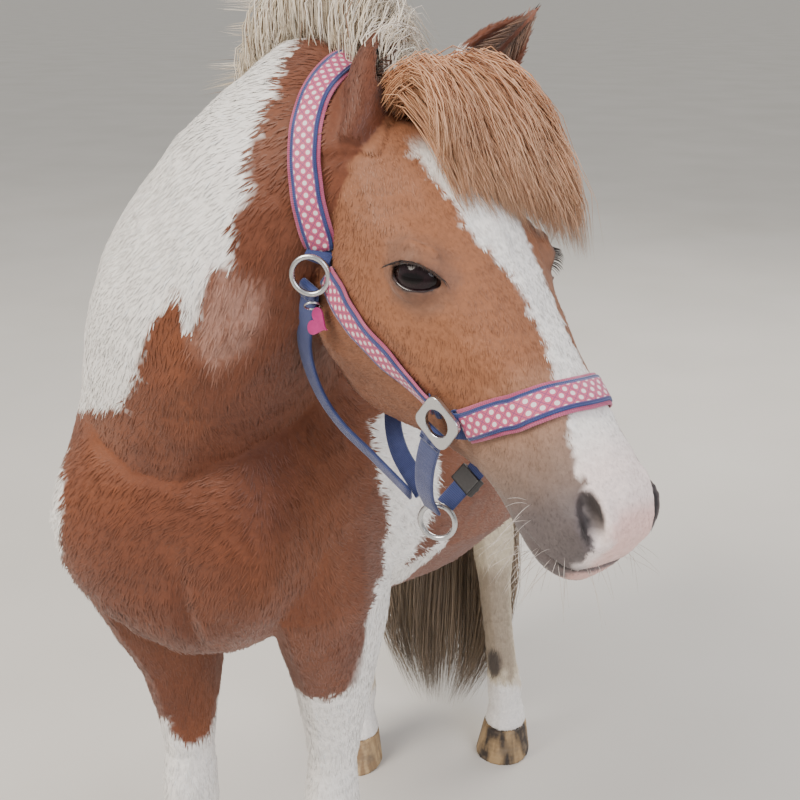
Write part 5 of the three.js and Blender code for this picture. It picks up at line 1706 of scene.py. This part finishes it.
def make_buckle(spots, outs, material):
    """A black three-bar slide on the left strap of the jaw."""
    low, high = (int(share * (len(spots) - 1)) for share in BUCKLE_SHARES)
    ahead = Vector(spots[high] - spots[low]).normalized()
    out = Vector(outs[low])
    out = (out - ahead * out.dot(ahead)).normalized()
    side = ahead.cross(out)
    middle = Vector((spots[low] + spots[high]) / 2)
    shape = bmesh.new()
    turned = Matrix((side, ahead, out)).transposed().to_4x4()
    long, wide, bar = 17.0, 26.0, 3.4
    bars = [((0, offset * (long / 2 - bar / 2), lift), (wide, bar, 3.2))
            for offset, lift in ((-1, 2.6), (0, 3.6), (1, 2.6))]
    bars += [((edge * (wide / 2 - bar / 2), 0, 1.2), (bar, long, 6.0)) for edge in (-1, 1)]
    bars.append(((0, 0, -3.2), (wide, long, 1.6)))
    for place, size in bars:
        made = bmesh.ops.create_cube(shape, size=1.0, matrix=Matrix.Translation(Vector(place) * MM)
                                     @ Matrix.Diagonal((*[s * MM for s in size], 1)))
        edges = list({e for v in made["verts"] for e in v.link_edges})
        bmesh.ops.bevel(shape, geom=edges, offset=0.7 * MM, segments=3, profile=0.5, affect="EDGES",
                        material=-1)
    bmesh.ops.transform(shape, matrix=Matrix.Translation(middle) @ turned, verts=shape.verts)
    mesh = with_modifier(mesh_of(shape, "halter_buckle_slide"), "REMESH", mode="VOXEL",
                         voxel_size=0.7 * MM, adaptivity=0.0)
    halter_piece(new_object("halter_buckle_slide", smooth_faces(mesh)), "plastic", material, "halter_buckle")


def make_tag(steel, enamel):
    """A blank heart-shaped tag on a small split ring."""
    reach, thick = 12.0, 1.8
    shape = bmesh.new()
    bmesh.ops.create_circle(shape, segments=72, radius=1.0, cap_ends=True)
    for vertex in shape.verts:
        t = math.atan2(vertex.co.y, vertex.co.x) + math.pi / 2
        x = 16 * math.sin(t) ** 3
        y = 13 * math.cos(t) - 5 * math.cos(2 * t) - 2 * math.cos(3 * t) - math.cos(4 * t)
        vertex.co = Vector((x, y + 2, 0)) * reach / 16 * MM
    thicken(shape, thick, 0.5)
    spun = Matrix.Rotation(-1.42, 4, "Y") @ Matrix.Rotation(0.4, 4, "Z")
    placed = Matrix.Translation(Vector(on_head([TAG_PLACE])[0])) @ HEAD_AXES.to_4x4() @ spun
    bmesh.ops.transform(shape, matrix=placed, verts=shape.verts)
    heart = new_object("halter_tag_heart", mesh_of(shape, "halter_tag_heart"))
    halter_piece(heart, "tag_enamel", enamel, "halter_tag")
    ring_at = (Vector(on_head([TAG_PLACE])[0]) * 0.42
               + Vector(on_head([(-UPPER_RING[0], UPPER_RING[1] - 8, UPPER_RING[2] - 14)])[0]) * 0.58)
    across = (HEAD_AXES @ Vector((0.3, 0.9, 0.3))).normalized()
    first = across.orthogonal().normalized()
    second = across.cross(first)
    turns = np.linspace(0, 4 * math.pi, 90)
    outs = [first * math.cos(a) + second * math.sin(a) for a in turns]
    route = [np.array(ring_at + out * SPLIT_RING * MM + across * a * 0.09 * MM)
             for a, out in zip(turns, outs)]
    small = sweep("halter_tag_split_ring", route, [np.array(out) for out in outs], round_profile(0.6, 0.6, 8))
    halter_piece(small, "steel", steel)


def make_halter(tree):
    finishes = {
        "pad": webbing_material("brushed_pink_fleece_padding", "#b9567a", "#cf7192", 0.8),
        "webbing": webbing_material("navy_polyester_webbing", "#37447a", "#4a5891", 0.7),
        "ribbon": ribbon_material(),
    }
    steel = steel_material()
    plastic = plain_material("black_moulded_acetal", "#161518", "#242226", 0.38, 500.0, 0.0001)
    enamel = plain_material("magenta_enamelled_aluminium", "#a3256a", "#b92f7a", 0.22, 160.0, 0.00005,
                            Coat_Weight=0.7)
    thread = webbing_material("navy_sewing_thread", "#2f3a6b", "#3d4a80", 0.6)
    webbing = finishes["webbing"]
    rings = {}
    for side, sign in SIDES:
        for kind, place, face, make in (("upper", UPPER_RING, UPPER_FACE, make_ring),
                                        ("lower", LOWER_RING, LOWER_FACE, make_plate)):
            centre = Vector(on_head(on_side([place], sign))[0])
            rings[kind, side] = centre
            normal = HEAD_AXES @ Vector(on_side([face], sign)[0])
            make(f"ring_{kind}_{side}", centre, normal, steel, f"halter_ring_{kind}_{side}")
        hits, normals = laid(on_side(CHEEK_ROUTE, sign), 40, tree)
        make_strap(f"cheek_{side}", hits, normals, finishes, f"halter_cheek_{side}")
        for end, kind in ((0, "upper"), (-1, "lower")):
            make_fold(f"cheek_{side}_{kind}", rings[kind, side], hits[end], normals[end], finishes, kind)
        spots, outs = make_hanging(f"throat_{side}", THROAT_ROUTE, sign, THROAT_WIDTH, webbing)
        make_fold(f"throat_{side}", rings["upper", side], spots[2], outs[0], finishes, "upper", THROAT_WIDTH)
        spots, outs = make_hanging(f"jaw_{side}", JAW_ROUTE, sign, JAW_WIDTH, webbing)
        make_fold(f"jaw_{side}", rings["lower", side], spots[3], outs[0], finishes, "lower", JAW_WIDTH)
        if side == "left":
            make_buckle(spots, outs, plastic)
    make_ring("ring_chin", Vector(on_body([CHIN_RING])[0]), Vector((0, 1, 0)), steel, "halter_ring_chin")
    for name, route, steps, kind in (("crown", CROWN_ROUTE, 120, "upper"),
                                     ("noseband", NOSE_ROUTE, 90, "lower")):
        hits, normals = laid(over_top(route), steps, tree)
        make_strap(name, hits, normals, finishes, f"halter_{name}")
        for end, side in ((0, "left"), (-1, "right")):
            make_fold(f"{name}_{side}", rings[kind, side], hits[end], normals[end], finishes, kind)
    make_tag(steel, enamel)
    make_stitches(thread)


# Stage

STUDIO = [
    # where each light stands from the middle of the pony, its size, its power and its tint
    ("key", (-1.9, -2.6, 3.0), 2.4, 205, "#fff6ea"),
    ("fill", (3.2, -2.0, 1.9), 2.8, 110, "#f4f5ff"),
    ("back", (0.6, 3.0, 2.6), 2.2, 90, "#fff8f0"),
]
FLOOR_REACH = 300.0          # so far that its edge isn't seen
LIT_MIDDLE = (0, 0, 0.7)
SKY = "#e3e1de"
SKY_STRENGTH = 0.85


def make_floor():
    shape = bmesh.new()
    bmesh.ops.create_grid(shape, x_segments=1, y_segments=1, size=FLOOR_REACH)
    material, tree, shader = start_material("matt_painted_plaster", Roughness=0.85, Specular_IOR_Level=0.3)
    spot = add_node(tree, "TexCoord")
    mottle = add_node(tree, "TexNoise", {"Vector": spot.outputs["Object"], "Scale": 1.6, "Detail": 5.0})
    tree.links.new(ramp(tree, mottle.outputs["Fac"], 0.3, 0.7, paint("#cfccc6"), paint("#d7d4cf")),
                   shader.inputs["Base Color"])
    new_object("floor", mesh_of(shape, "floor"), material)


def make_lights():
    middle = Vector(LIT_MIDDLE)
    for name, place, size, power, tint in STUDIO:
        data = bpy.data.lights.new(name, "AREA")
        data.shape = "DISK"
        data.size = size
        data.energy = power
        data.color = rgb(tint)
        light = bpy.data.objects.new(name, data)
        light.location = middle + Vector(place)
        light.rotation_euler = (-Vector(place)).to_track_quat("-Z", "Y").to_euler()
        bpy.context.scene.collection.objects.link(light)
    world = bpy.data.worlds.new("studio")
    bpy.context.scene.world = world
    world.use_nodes = True
    sky = world.node_tree.nodes["Background"]
    sky.inputs["Color"].default_value = paint(SKY)
    sky.inputs["Strength"].default_value = SKY_STRENGTH


make_camera()
make_floor()
make_lights()
skin = make_skin()
skin_tree = BVHTree.FromPolygons(skin["places"].tolist(), skin["corners"].tolist())
make_coat(skin)
make_mane(skin, skin_tree)
make_forelock(skin, skin_tree)
make_tail(skin, skin_tree)
make_small_hair(skin, skin_tree)
make_eyes()
make_hooves()
make_halter(skin_tree)
